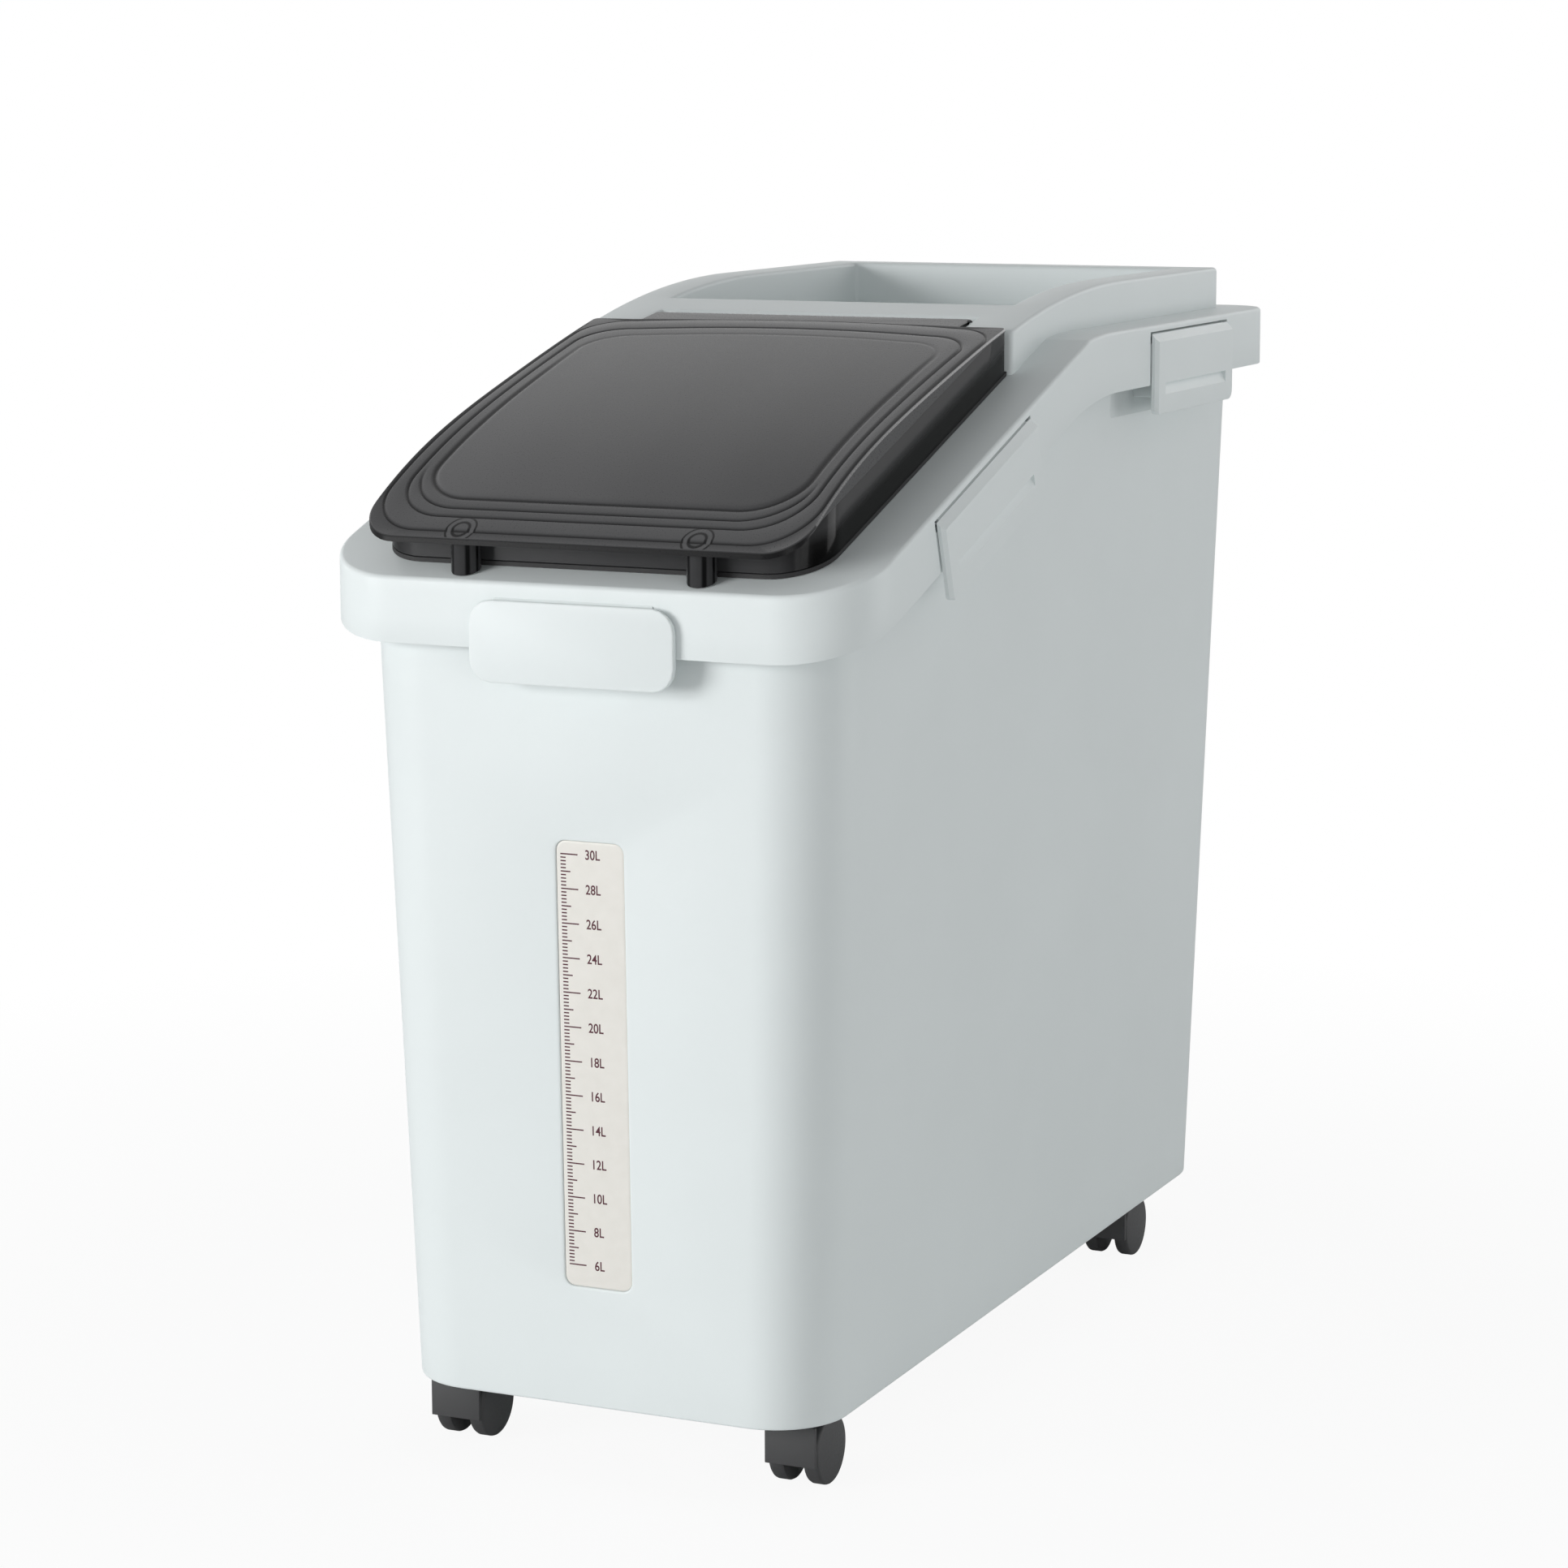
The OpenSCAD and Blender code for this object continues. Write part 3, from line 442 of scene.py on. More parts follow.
def smoked_polycarbonate(name, shade, light, panel_tint, panel_reflection, painted_shade, rough, level):
    """Moulded polycarbonate tinted with smoke, dark and glossy, with painted light: painted reflection in soft
    streaks and over the raised panel, which is paler to the left, painted shade that makes the grooves near
    black, and painted rings."""
    made, tree, shader, where = blank(name, {"IOR": 1.58, "Specular IOR Level": level})
    # Painted reflection: soft streaks from front to rear, about 45 mm wide and 200 mm long
    stretched = add(tree, "ShaderNodeMapping", {"Vector": where, "Scale": (1.0, 0.22, 0.22)})
    reflection_streaks = add(tree, "ShaderNodeTexNoise", {"Vector": stretched, "Scale": per_metre(45), "Detail": 1.0})
    sheet = mixed(tree, reflection_streaks, srgb(shade), srgb(light))
    # Painted reflection: the panel gets paler towards the left, unevenly with the streaks
    split = add(tree, "ShaderNodeSeparateXYZ", {"Vector": where}).outputs
    across = ramp(tree, split["X"], -0.1, 0.1, 1.0, 0.0)
    waver = maths(tree, "MULTIPLY_ADD", reflection_streaks, 0.4, -0.2)
    blend = maths(tree, "ADD", across, waver, use_clamp=True)
    paler = mixed(tree, blend, srgb(panel_tint), srgb(panel_reflection))
    on_panel = add(tree, "ShaderNodeAttribute", attribute_name="panel").outputs["Fac"]
    tint = mixed(tree, on_panel, sheet, paler)
    # Painted light laid over this in turn, with their shares; first the painted shade in the grooves, along the
    # panel's step and on the rim's front
    painted_layers = [(add(tree, "ShaderNodeAttribute", attribute_name="groove").outputs["Fac"], painted_shade)]
    # Ring marks on the top where the posts join the sheet from below, painted instead of modelled: a painted
    # highlight about 12 mm across between painted shade 8 mm across and thin painted shade 15 mm across
    off_middle = maths(tree, "ABSOLUTE", split["X"])
    flat = add(tree, "ShaderNodeCombineXYZ", {"X": off_middle, "Y": split["Y"]})
    away = add(tree, "ShaderNodeVectorMath", {0: flat, 1: (POST_X * MM, RING_Y * MM, 0)}, operation="DISTANCE")
    on_top = ramp(tree, split["Y"], (LIP_Y + 0.5) * MM, (LIP_Y + 1.0) * MM)
    for radius, wide, ring_shading in ((5.8, 1.6, light), (4.1, 1.0, painted_shade), (7.3, 0.7, painted_shade)):
        near = maths(tree, "ABSOLUTE", maths(tree, "SUBTRACT", away, radius * MM))
        line = ramp(tree, near, wide * 0.4 * MM, wide * MM, 1.0, 0.0)
        painted_layers.append((maths(tree, "MULTIPLY", line, on_top), ring_shading))
    # Painted reflection of the shaded deck: along the sides the walls are blackest near their foot, up to about
    # 16 mm above the deck
    lean = math.tan(SLOPE)
    base = (FRONT_Z - FRONT_Y * lean) * MM
    rise = add(tree, "ShaderNodeVectorMath", {0: where, 1: (0, -lean, 1)}, operation="DOT_PRODUCT")
    foot = ramp(tree, rise, base + 12 * MM, base + 18 * MM, 1.0, 0.0)
    aside = ramp(tree, off_middle, 95 * MM, 108 * MM)
    painted_layers.append((maths(tree, "MULTIPLY", foot, aside), "060606"))
    for share, painted_tone in painted_layers:
        tint = mixed(tree, share, tint, srgb(painted_tone))
    link(tree, tint, shader, "Base Color")
    # Fine texture of the mould, drawn 0.8 mm wide so that it shows
    grain(tree, shader, where, 0.8, 2.0, (rough - 0.04, rough + 0.04), 0.06, relief=0.03)
    return made


def grained(name, dark, light, wide, rough, strength):
    """Plain moulded plastic, rubber or ink with an even grain."""
    made, tree, shader, where = blank(name, {})
    share = grain(tree, shader, where, wide, 3.0, (rough - 0.06, rough + 0.06), strength)
    link(tree, mixed(tree, share, srgb(dark), srgb(light)), shader, "Base Color")
    return made


def drawn_steel():
    """Zinc-plated steel wire: bright, and a little uneven, about 0.4 mm wide, from drawing and plating."""
    made, tree, shader, where = blank("steel_zinc_plated", {"Metallic": 1.0})
    share = grain(tree, shader, where, 0.4, 2.0, (0.22, 0.4))
    link(tree, mixed(tree, share, srgb("B4B7BA"), srgb("C6C8CA")), shader, "Base Color")
    return made


white = white_polypropylene()
smoke_top = smoked_polycarbonate("polycarbonate_smoked_satin", "535354", "5A5A5B", "474748", "616162",
                                 "161617", 0.3, 0.1)
# A copy of the top's finish for a painted highlight: it reflects far more strongly and goes only on the chamfer
# along the rim's sides, so that the highlight shows there and not along the front
smoke_rim = smoked_polycarbonate("polycarbonate_smoked_rim", "4F4F50", "565657", "474748", "5E5E5F",
                                 "161617", 0.28, 1.0)
smoke_wall = smoked_polycarbonate("polycarbonate_smoked_polished", "383839", "404041", "404041", "444445",
                                  "0C0C0D", 0.14, 0.06)
strip_white = grained("polypropylene_milky", "E4E1DA", "ECE9E3", 6.0, 0.42, 0.05)
ink = grained("ink_maroon_screen_printed", "4A1224", "541729", 0.8, 0.55, 0.05)
caster_grey = grained("nylon_dark_grey_moulded", "3B3B3C", "424243", 0.9, 0.6, 0.15)
wheel_grey = grained("nylon_wheel_dark_grey", "3B3B3C", "434344", 0.9, 0.55, 0.12)
black_rubber = grained("rubber_black", "1C1C1D", "252526", 0.7, 0.7, 0.2)
black_acetal = grained("acetal_black", "1E1E1F", "272728", 0.8, 0.4, 0.1)
steel = drawn_steel()


def latch_place(start, length, tilt, side):
    """Places a side latch's own frame, X outward, Y along the deck and Z off it."""
    foot = (COVER_W / 2, FRONT_Y, FRONT_Z) if tilt else (COVER_W / 2, DECK_Y, REAR_Z)
    turn = Matrix.Translation(foot) @ Matrix.Rotation(tilt, 4, "X")
    turn = turn @ Matrix.Translation((0, start + length / 2, 0))
    return Matrix.Diagonal((side, 1, 1, 1)) @ turn


def both_sides(shape, seat):
    """A shape from a latch's own frame at its left and its right place."""
    return [placed(shape, latch_place(*seat, side)) for side in SIDES]


FRONT_PLACE = Matrix.Translation((0, FRONT_Y, FRONT_Z)) @ Matrix.Rotation(math.radians(-90), 4, "Z")
WINDOW_PLACE = Matrix.Translation((0, -TUB_D / 2, TUB_Z)) @ Matrix.Rotation(END_LEAN, 4, "X")


def window_shape(steps):
    """A shape with the window's outline in the front wall, from (draw, depth) steps."""
    rows = []
    for draw, into in steps:
        outline = loop(WINDOW_W / 2 - draw, -WINDOW_H / 2 + draw, WINDOW_H / 2 - draw,
                       WINDOW_CORNER - draw, WINDOW_CORNER - draw, sides=24, corner=8)
        rows.append(np.column_stack([outline[:, 0], np.full(len(outline), into), outline[:, 1]]))
    return placed(skin(rows), WINDOW_PLACE @ Matrix.Translation((0, 0, WINDOW_RISE + WINDOW_H / 2)))


def oblong(half, low, high):
    """Corners of a plate whose sides in turn are the lower edge, rear end, upper edge and front end."""
    return [(-half, low), (half, low), (half, high), (-half, high)]


def corner_points(corners, draws, radii, steps=5):
    """A polygon drawn in by an amount for each side, with round corners of equal counts."""
    corners = np.array(corners, float)
    n = len(corners)
    lines = []
    for k in range(n):
        p, q = corners[k], corners[(k + 1) % n]
        d = (q - p) / np.linalg.norm(q - p)
        lines.append((p + np.array([-d[1], d[0]]) * draws[k], d))
    out = []
    for k in range(n):
        (p, d), (q, e) = lines[k - 1], lines[k]
        tip = p + d * np.linalg.solve(np.stack([d, -e], 1), q - p)[0]
        r = max(radii[k], 0.05)
        bend = math.acos(np.clip(d @ e, -1, 1))
        begin = tip - d * r * math.tan(bend / 2)
        centre = begin + np.array([-d[1], d[0]]) * r
        first = math.atan2(*(begin - centre)[::-1])
        for a in first + bend * np.linspace(0, 1, steps):
            out.append(centre + r * np.array([math.cos(a), math.sin(a)]))
    return np.array(out)


def plate_rings(corners, radii, steps):
    """A closed plate across X from (out, draw for each side) steps."""
    rows = []
    for out, draws in steps:
        trim = [max(r - max(draws[k - 1], draws[k]), 0.4) for k, r in enumerate(radii)]
        flat = corner_points(corners, draws, trim)
        rows.append(np.column_stack([np.full(len(flat), out), flat]))
    n = len(rows[0])
    points, faces = skin(rows, caps=False)
    return points, faces + [tuple(range(n))[::-1], tuple(range((len(rows) - 1) * n, len(rows) * n))]


def keeper(length, tilt, reach):
    """Ledge of the tub that a latch's hook grips, as deep as it reaches in."""
    top = -SKIRT_H * math.cos(tilt) - RIM_GAP
    half = length / 2 - KEEPER_SHORT
    return block((-KEEPER_OUT - reach, -half, top - KEEPER_H), (-KEEPER_OUT, half, top), 1.2)


def tub_outline(z, draw):
    """The tub's outline at a height for each point, drawn in by draw."""
    def at(level):
        rise = level - TUB_Z
        w = TUB_W / 2 + rise * math.tan(SIDE_LEAN) - draw
        d = TUB_D / 2 + rise * math.tan(END_LEAN) - draw
        return loop(w, -d, d, TUB_CORNER - draw, TUB_CORNER - draw)
    base = at(TUB_Z)
    grow = (at(TUB_Z + 100) - base) / 100
    return base + grow * (np.broadcast_to(z, len(base)) - TUB_Z)[:, None]


def tub_ring(z, draw):
    """Points of the tub's outline at their heights."""
    return ring(tub_outline(z, draw), z)


def under_rim(drop, draw):
    """Heights at which the tub's wall meets the deck's profile lowered by drop."""
    z = np.full(len(tub_outline(TUB_Z, draw)), REAR_Z - drop)
    for _ in range(6):
        z = deck(tub_outline(z, draw)[:, 1]) - drop
    return z


def make_tub():
    """Tub with its raised floor, rolled rim, window opening, finger scoops, keepers and bosses."""
    # Down the inside of the foot, round its edge and up the outside, as heights and draws
    rows = [tub_ring(z, draw) for z, draw in (
        (FLOOR_Z, TUB_WALL + 1.5), (FLOOR_Z - 0.5, TUB_WALL + 0.4), (FLOOR_Z - 1.6, TUB_WALL),
        (TUB_Z + 0.5, TUB_WALL), (TUB_Z + 0.1, TUB_WALL - 0.3), (TUB_Z, TUB_WALL - 0.7),
        (TUB_Z, 1.3), (TUB_Z + 0.3, 0.5), (TUB_Z + 0.8, 0.12), (TUB_Z + 1.5, 0))]
    low, high = TUB_Z + 1.5, under_rim(RIM_DROP + RIM_T, 0)
    rows += [tub_ring(low + (high - low) * share, 0) for share in (0.05, 0.2, 0.4, 0.6, 0.8, 0.93, 1.0)]
    rim = loop(RIM_W / 2, -RIM_D / 2, RIM_D / 2, TUB_CORNER, TUB_CORNER)
    for draw, drop in ((0.4, RIM_DROP + RIM_T), (0, RIM_DROP + RIM_T - 0.4),
                       (0, RIM_DROP + 0.4), (0.4, RIM_DROP)):
        rows.append(on_deck(inset(rim, draw), -drop))
    # Down the inside to the floor
    inner, floor = under_rim(RIM_DROP, TUB_WALL), FLOOR_Z + FLOOR_T
    bend = floor + FLOOR_R
    rows += [tub_ring(bend + (inner - bend) * share, TUB_WALL)
             for share in (1.0, 0.97, 0.8, 0.6, 0.4, 0.2, 0.06)]
    for a in np.radians((0, 22, 45, 68, 90)):
        rows.append(tub_ring(floor + FLOOR_R * (1 - math.sin(a)), TUB_WALL + FLOOR_R * (1 - math.cos(a))))
    tub = thing("tub_moulding", skin(rows))
    # Window opening, its outer edge flared into a soft lip
    cut(tub, window_shape(((0.0, 8.0), (0.0, 1.2), (-0.05, 0.7), (-0.3, 0.3), (-0.8, 0.08), (-1.5, -0.02),
                           (-2.6, -4.0))))
    # Finger scoops in the side walls behind the rear latches
    scoop = plate_rings(oblong(REAR_LATCH[1] / 2 + SCOOP_PAST, SCOOP_LOW, SCOOP_HIGH), (5.0, 5.0, 1.0, 1.0), [
        (-16.9, (9.0, 3.0, 0, 0.3)), (-16.3, (5.0, 1.5, 0, 0.15)), (-15.4, (1.8, 0.4, 0, 0)),
        (-9.0, (0, 0, 0, 0))])
    cut(tub, merged(*both_sides(scoop, REAR_LATCH)))
    # Keeper ledges behind the latches and the sockets' bosses under the floor
    for seat in SEATS:
        joined(tub, *both_sides(keeper(*seat[1:], SIDE_REACH), seat))
    joined(tub, placed(keeper(PLATE_W, 0, FRONT_REACH), FRONT_PLACE))
    boss = lathe([(SOCKET_R, BOSS_Z), (BOSS_R - 0.8, BOSS_Z), (BOSS_R - 0.2, BOSS_Z + 0.3),
                  (BOSS_R, BOSS_Z + 1), (BOSS_R, FLOOR_Z + 1), (SOCKET_R, FLOOR_Z + 1)])
    joined(tub, *[placed(boss, Matrix.Translation((x, y, 0))) for x, y in CASTERS.values()])
    dress(tub, white, "bin", "white_shell", "tub")


def mouth_outline(draw):
    """Outline of the collar round the mouth, drawn in by draw."""
    margin = COLLAR_IN + draw
    return loop(WALL_W / 2 - margin, WALL_FRONT + margin, LID_Y - margin, MOUTH_R - draw, MOUTH_R - draw)


def pocket_back(half, hinge, top):
    """Wall behind a latch's pocket."""
    return block((-POCKET_IN - POCKET_BACK, -half, -hinge - 4.6), (-POCKET_IN, half, -top), 0.3)


def make_cover():
    """Cover with its skirt, deck, mouth, latch pockets, collar, tray fence and hinge eyes."""
    crease = bend_start(CREASE_R, CREASE)
    flank = np.concatenate([np.linspace(-245, -34, 26), np.linspace(-30, crease - 1, 9), [crease, crease + 1],
                            np.linspace(crease + 4, 44, 13), np.linspace(52, 262, 24)])
    base = loop(COVER_W / 2, -COVER_D / 2, COVER_D / 2, COVER_FRONT_R, COVER_REAR_R, corner=16, flank=flank)

    def level(draw, drop):
        return on_deck(inset(base, draw), -drop)

    def foot(draw, rise):
        edge = inset(base, draw)
        return ring(edge, bent(edge[:, 1], SKIRT_R, SLOPE) - SKIRT_H + rise)

    # Under the deck, down the inside of the skirt, round its foot, up the outside and over the deck's edge
    rows = [level(COVER_WALL + 3, COVER_WALL), level(COVER_WALL + 0.9, COVER_WALL + 0.9),
            level(COVER_WALL, COVER_WALL + 3)]
    rows += [foot(draw, rise) for draw, rise in (
        (COVER_WALL, 0.6), (COVER_WALL - 0.3, 0.15), (COVER_WALL - 0.8, 0), (0.7, 0), (0.2, 0.2), (0, 0.8),
        (0, SKIRT_H * 0.4))]
    rows.append(level(0, DECK_EDGE_R + 3))
    for a in np.radians(np.linspace(0, 90, 7)):
        rows.append(level(DECK_EDGE_R * (1 - math.cos(a)), DECK_EDGE_R * (1 - math.sin(a))))
    cover = thing("cover_moulding", skin(rows))
    mouth = mouth_outline(COVER_WALL)
    tools = [skin([on_deck(mouth, -20), on_deck(mouth, 20)])]
    # Pockets for the latches' barrels, and slots at the side latches' front ends
    for seat in SEATS:
        half = seat[1] / 2 + POCKET_PLAY
        room = block((-POCKET_IN, -half, -SIDE_HINGE - POCKET_UNDER), (PAST_SKIRT, half, -POCKET_ROOF), 0.3)
        slot = block((-SLOT_IN, -half, -SKIRT_H - 2), (PAST_SKIRT, SLOT_W - half, -6), 0.1)
        for pair in zip(both_sides(room, seat), both_sides(slot, seat)):
            tools += pair
    tools.append(placed(block((-POCKET_IN, -FRONT_POCKET, -PLATE_HINGE - POCKET_UNDER),
                              (PAST_SKIRT, FRONT_POCKET, FRONT_ROOF - PLATE_HINGE), 0.3), FRONT_PLACE))
    for tool in tools:
        cut(cover, tool)
    for seat in SEATS:
        joined(cover, *both_sides(pocket_back(seat[1] / 2 + BACK_PAST, SIDE_HINGE, SIDE_BACK_TOP), seat))
    joined(cover, placed(pocket_back(FRONT_BACK, PLATE_HINGE, FRONT_BACK_TOP), FRONT_PLACE))
    collar = [on_deck(mouth_outline(draw), rise) for draw, rise in (
        (0, -COVER_WALL), (0, COLLAR_H - 1.3), (0.35, COLLAR_H - 0.4), (1.3, COLLAR_H), (2.25, COLLAR_H - 0.4),
        (COVER_WALL, COLLAR_H - 1.3), (COVER_WALL, -COVER_WALL))]
    joined(cover, skin(collar, closed=True), make_fence())
    eye = lathe([(LID_PIN_R, 0), (LID_PIN_R + EYE_T, 0), (LID_PIN_R + EYE_T, EYE_L), (LID_PIN_R, EYE_L)], 32)
    for side in SIDES:
        joined(cover, placed(eye, sideways((side * (TONGUE_W / 2 + TONGUE_GAP), PIVOT_Y, PIVOT_Z), side)))
    dress(cover, white, "bin", "white_shell", "cover")


def make_fence():
    """Tray fence on the rear deck: two rails, a rear rail and a cross bar with a notch for the lid's tongue."""
    half, inner, notch = FENCE_W / 2, FENCE_W / 2 - FENCE_RAIL, TONGUE_W / 2 + TONGUE_GAP
    xs = np.array([-half, -inner, -notch, notch, inner, half])
    marks = [FENCE_Y, BAR_Y, BAR_Y + BAR_D, FENCE_END - FENCE_RAIL, FENCE_END]
    runs = [np.linspace(a, b, max(2, int((b - a) / FENCE_STEP) + 1))[:-1] for a, b in zip(marks, marks[1:])]
    ys = np.concatenate(runs + [[FENCE_END]])

    def solid(i, j):
        if not (0 <= i < len(xs) - 1 and 0 <= j < len(ys) - 1):
            return False
        x, y = (xs[i] + xs[i + 1]) / 2, (ys[j] + ys[j + 1]) / 2
        if y < BAR_Y:
            return abs(x) > notch
        return y < BAR_Y + BAR_D or y > FENCE_END - FENCE_RAIL or abs(x) > inner

    index, points, faces = {}, [], []

    def corner(i, j, top):
        key = (i, j, top)
        if key not in index:
            index[key] = len(points)
            z = fence_height(ys[j]) if top else deck(ys[j]) - FENCE_SINK
            points.append((xs[i], ys[j], float(z)))
        return index[key]

    for i in range(len(xs) - 1):
        for j in range(len(ys) - 1):
            if not solid(i, j):
                continue
            a, b, c, d = (i, j), (i + 1, j), (i + 1, j + 1), (i, j + 1)
            faces.append(tuple(corner(*p, True) for p in (a, b, c, d)))
            faces.append(tuple(corner(*p, False) for p in (d, c, b, a)))
            for (p, q), (di, dj) in (((a, b), (0, -1)), ((b, c), (1, 0)), ((c, d), (0, 1)), ((d, a), (-1, 0))):
                if not solid(i + di, j + dj):
                    faces.append((corner(*p, False), corner(*q, False), corner(*q, True), corner(*p, True)))
    fence = thing("fence", (points, faces))
    low = {i for i, p in enumerate(points) if p[2] < float(deck(p[1]))}
    rounded(fence, FENCE_EDGE_R, 4, 30, keep=lambda e: not all(v.index in low for v in e.verts))
    points = np.array([v.co[:] for v in fence.data.vertices]) / MM
    faces = [tuple(p.vertices) for p in fence.data.polygons]
    discard(fence)
    return points, faces


def lid_row(half_w, front, rear, front_r, rear_r, bow=0.0, tail=None):
    """Outline on the lid: a loop with five more points on each half of its bowed rear, or with a tail for the
    tongue."""
    whole = loop(half_w, front, rear, front_r, rear_r, sides=64, corner=14)
    right = whole[:len(whole) // 2]
    if tail is None:
        x = right[-1, 0] * np.array([0.85, 0.65, 0.45, 0.25, 0.08])
        tail = np.stack([x, rear + bow * (1 - (x / right[-1, 0]) ** 2)], 1)
    return mirrored(np.vstack([right, tail]))


def lid_height(outline, drop=0.0):
    """Height of the lid's top, which stands fuller than an arc near the front and slacker near the rear, most
    along its sides."""
    x, y = np.abs(outline[:, 0]), outline[:, 1]
    along = np.clip((y - LIP_Y) / (LID_Y - LIP_Y), 0, 1)
    share = 0.6 + 0.4 * np.clip((x - PANEL[0]) / 18, 0, 1)
    return arch(y, drop) + FULLER * share * np.sin(2 * math.pi * along ** 0.805)


def lid_sheet():
    """The lid's top and tongue: a rim, three grooves and a panel, with shares of panel and of the grooves'
    painted shade for each point and the chamfer's faces along the sides."""
    half_t = TONGUE_W / 2
    edge = lid_row(LID_W / 2 - 0.4, LIP_Y, LID_Y, LID_CORNER, 3.0, tail=np.array([
        (half_t + 1.6, LID_Y), (half_t + 0.5, LID_Y + 0.4), (half_t, LID_Y + 1.4), (half_t, PIVOT_Y - 1.0),
        (half_t - 0.6, PIVOT_Y + 0.5)]))
    count = len(edge)
    rows, depth, panel, groove = [], [], [], []

    def station(outline, sink, on_panel, in_groove):
        rows.append(outline)
        depth.append(np.broadcast_to(sink, count))
        panel.append(np.full(count, on_panel))
        groove.append(np.broadcast_to(in_groove, count))

    # Each groove is about 2.5 mm wide; the outer one starts close to the rim, and the inner one only runs along
    # the front
    wide = (-1.6, -1.1, -0.7, -0.35, 0, 0.35, 0.7, 1.1, 1.6)
    for line, offs in ((OUTER_GROOVE, (-0.8, -0.4, 0, 0.4, 0.8, 1.2, 1.7)), (MIDDLE_GROOVE, wide),
                       (INNER_GROOVE, wide)):
        centre = lid_row(*line)
        share = np.clip((INNER_END - centre[:, 1]) / INNER_FADE, 0, 1) if line is INNER_GROOVE else 1.0
        for off in offs:
            bell = math.exp(-(off / GROOVE_HALF) ** 2) * share
            station(inset(centre, off), GROOVE_DEEP * bell, 0.0, bell)
    centre = lid_row(*PANEL)
    # The panel's step and the painted shade along it are clear along the front and sides and faint at the rear
    clear = 0.25 + 0.75 * np.clip((STEP_END - centre[:, 1]) / STEP_FADE, 0, 1)
    for off, sink, on_panel, dark in (
            (-2.4, 0, 0, 0), (-1.6, 0.25, 0, 0.4), (-0.8, 0.75, 0, 1.0), (0, 0.8, 0.0, 1.0),
            (0.5, 0.55, 0.3, 0.5), (1.0, 0.1, 0.8, 0.1), (1.5, -0.15, 1, 0), (2.4, -0.25, 1, 0),
            (4.0, -0.25, 1, 0)):
        station(inset(centre, off), sink * clear, on_panel, dark * clear)

    # A flat chamfer along the rim; along the sides the rim reaches down to a line that runs level with the deck
    top = lid_height(edge) - TOP_SINK
    over = [ring(inset(edge, draw), top - sink) for draw, sink in ((0, 0.85), (0.617, 0), (0.8, 0))]
    on_side = np.clip((edge[:, 1] - CHAMFER_Y) / CHAMFER_RUN, 0, 1)
    on_side = on_side * np.clip((np.abs(edge[:, 0]) - CHAMFER_X) / CHAMFER_TURN, 0, 1)
    bottom = lid_height(edge, LID_T)
    low = bottom * (1 - on_side) + (deck(edge[:, 1]) + RIM_RISE) * on_side
    low = np.minimum(low, over[0][:, 2] - 0.4)
    under = [ring(rows[-1], lid_height(rows[-1], LID_T)), ring(inset(edge, 2.6), bottom),
             ring(inset(edge, 1.0), low), ring(edge, low)]
    rings = under + over + [ring(r, lid_height(r) - TOP_SINK - s) for r, s in zip(rows, depth)]
    bare = [np.zeros(count)] * (len(under) + len(over))
    # The rim's front gets the grooves' painted shade
    groove = bare[:2] + [1 - on_side] * 3 + bare[:2] + groove
    chamfer = [len(under) * count + i for i in range(count) if on_side[i] > 0.5]
    return skin(rings), {"panel": np.concatenate(bare + panel), "groove": np.concatenate(groove)}, chamfer


def make_lid():
    """Flip lid: the sheet with its barrel, and the walls with their posts."""
    half_t = TONGUE_W / 2
    sheet, shares, chamfer = lid_sheet()
    lid = thing("lid_moulding", sheet)
    for name, values in shares.items():
        lid.data.attributes.new(name, "FLOAT", "POINT").data.foreach_set("value", values)
    # Barrel at the tongue's end, which turns on the pins
    bore, outside = LID_PIN_R + 0.05, BARREL_R - 0.35
    tube = lathe([(bore, -half_t), (outside - 0.25, -half_t), (outside, -half_t + 0.6), (outside, half_t - 0.6),
                  (outside - 0.25, half_t), (bore, half_t)])
    joined(lid, placed(tube, sideways((0, PIVOT_Y, PIVOT_Z))))
    dress(lid, smoke_top, "lid", "smoked_lid")
    lid.data.materials.append(smoke_rim)
    for face in chamfer:
        lid.data.polygons[face].material_index = 1
    # Walls under the sheet and the two posts, from draws or radii and heights above the seals
    rows = []
    for draw, up in ((LID_T, None), (LID_T, 0), (LID_T - 0.8, 0), (0.8, 0), (0, 0.6), (0, 22.2), (0.1, 22.6),
                     (0.5, 22.7)):
        edge = loop(WALL_W / 2 - draw, WALL_FRONT + draw, LID_Y - draw, WALL_R - draw, 4.0 - min(draw, 3.2),
                    sides=64, corner=14)
        roof = lid_height(edge, LID_T / 2)
        foot = deck(edge[:, 1]) + SEAL_LIFT + SEAL_H
        rows.append(ring(edge, roof if up is None else np.minimum(foot + up, roof - 0.4 + up / 100)))
    walls = thing("lid_walls", skin(rows, closed=True))
    for side in SIDES:
        rows = []
        for r, up in ((POST_R, None), (POST_R, 1.0), (POST_R - 0.3, 0.3), (POST_R - 1.0, 0.0),
                      (BUMPER_R + 0.02, 0.0), (BUMPER_R + 0.02, 6.5)):
            edge = circle(r, 48) + (side * POST_X, POST_Y)
            roof = ring(edge, arch(edge[:, 1], LID_T / 2))
            rows.append(roof if up is None else on_deck(edge, SEAL_LIFT + up))
        joined(walls, skin(rows[::-1]))
    dress(walls, smoke_wall, "lid", "smoked_lid")
    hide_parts("flip_lid")


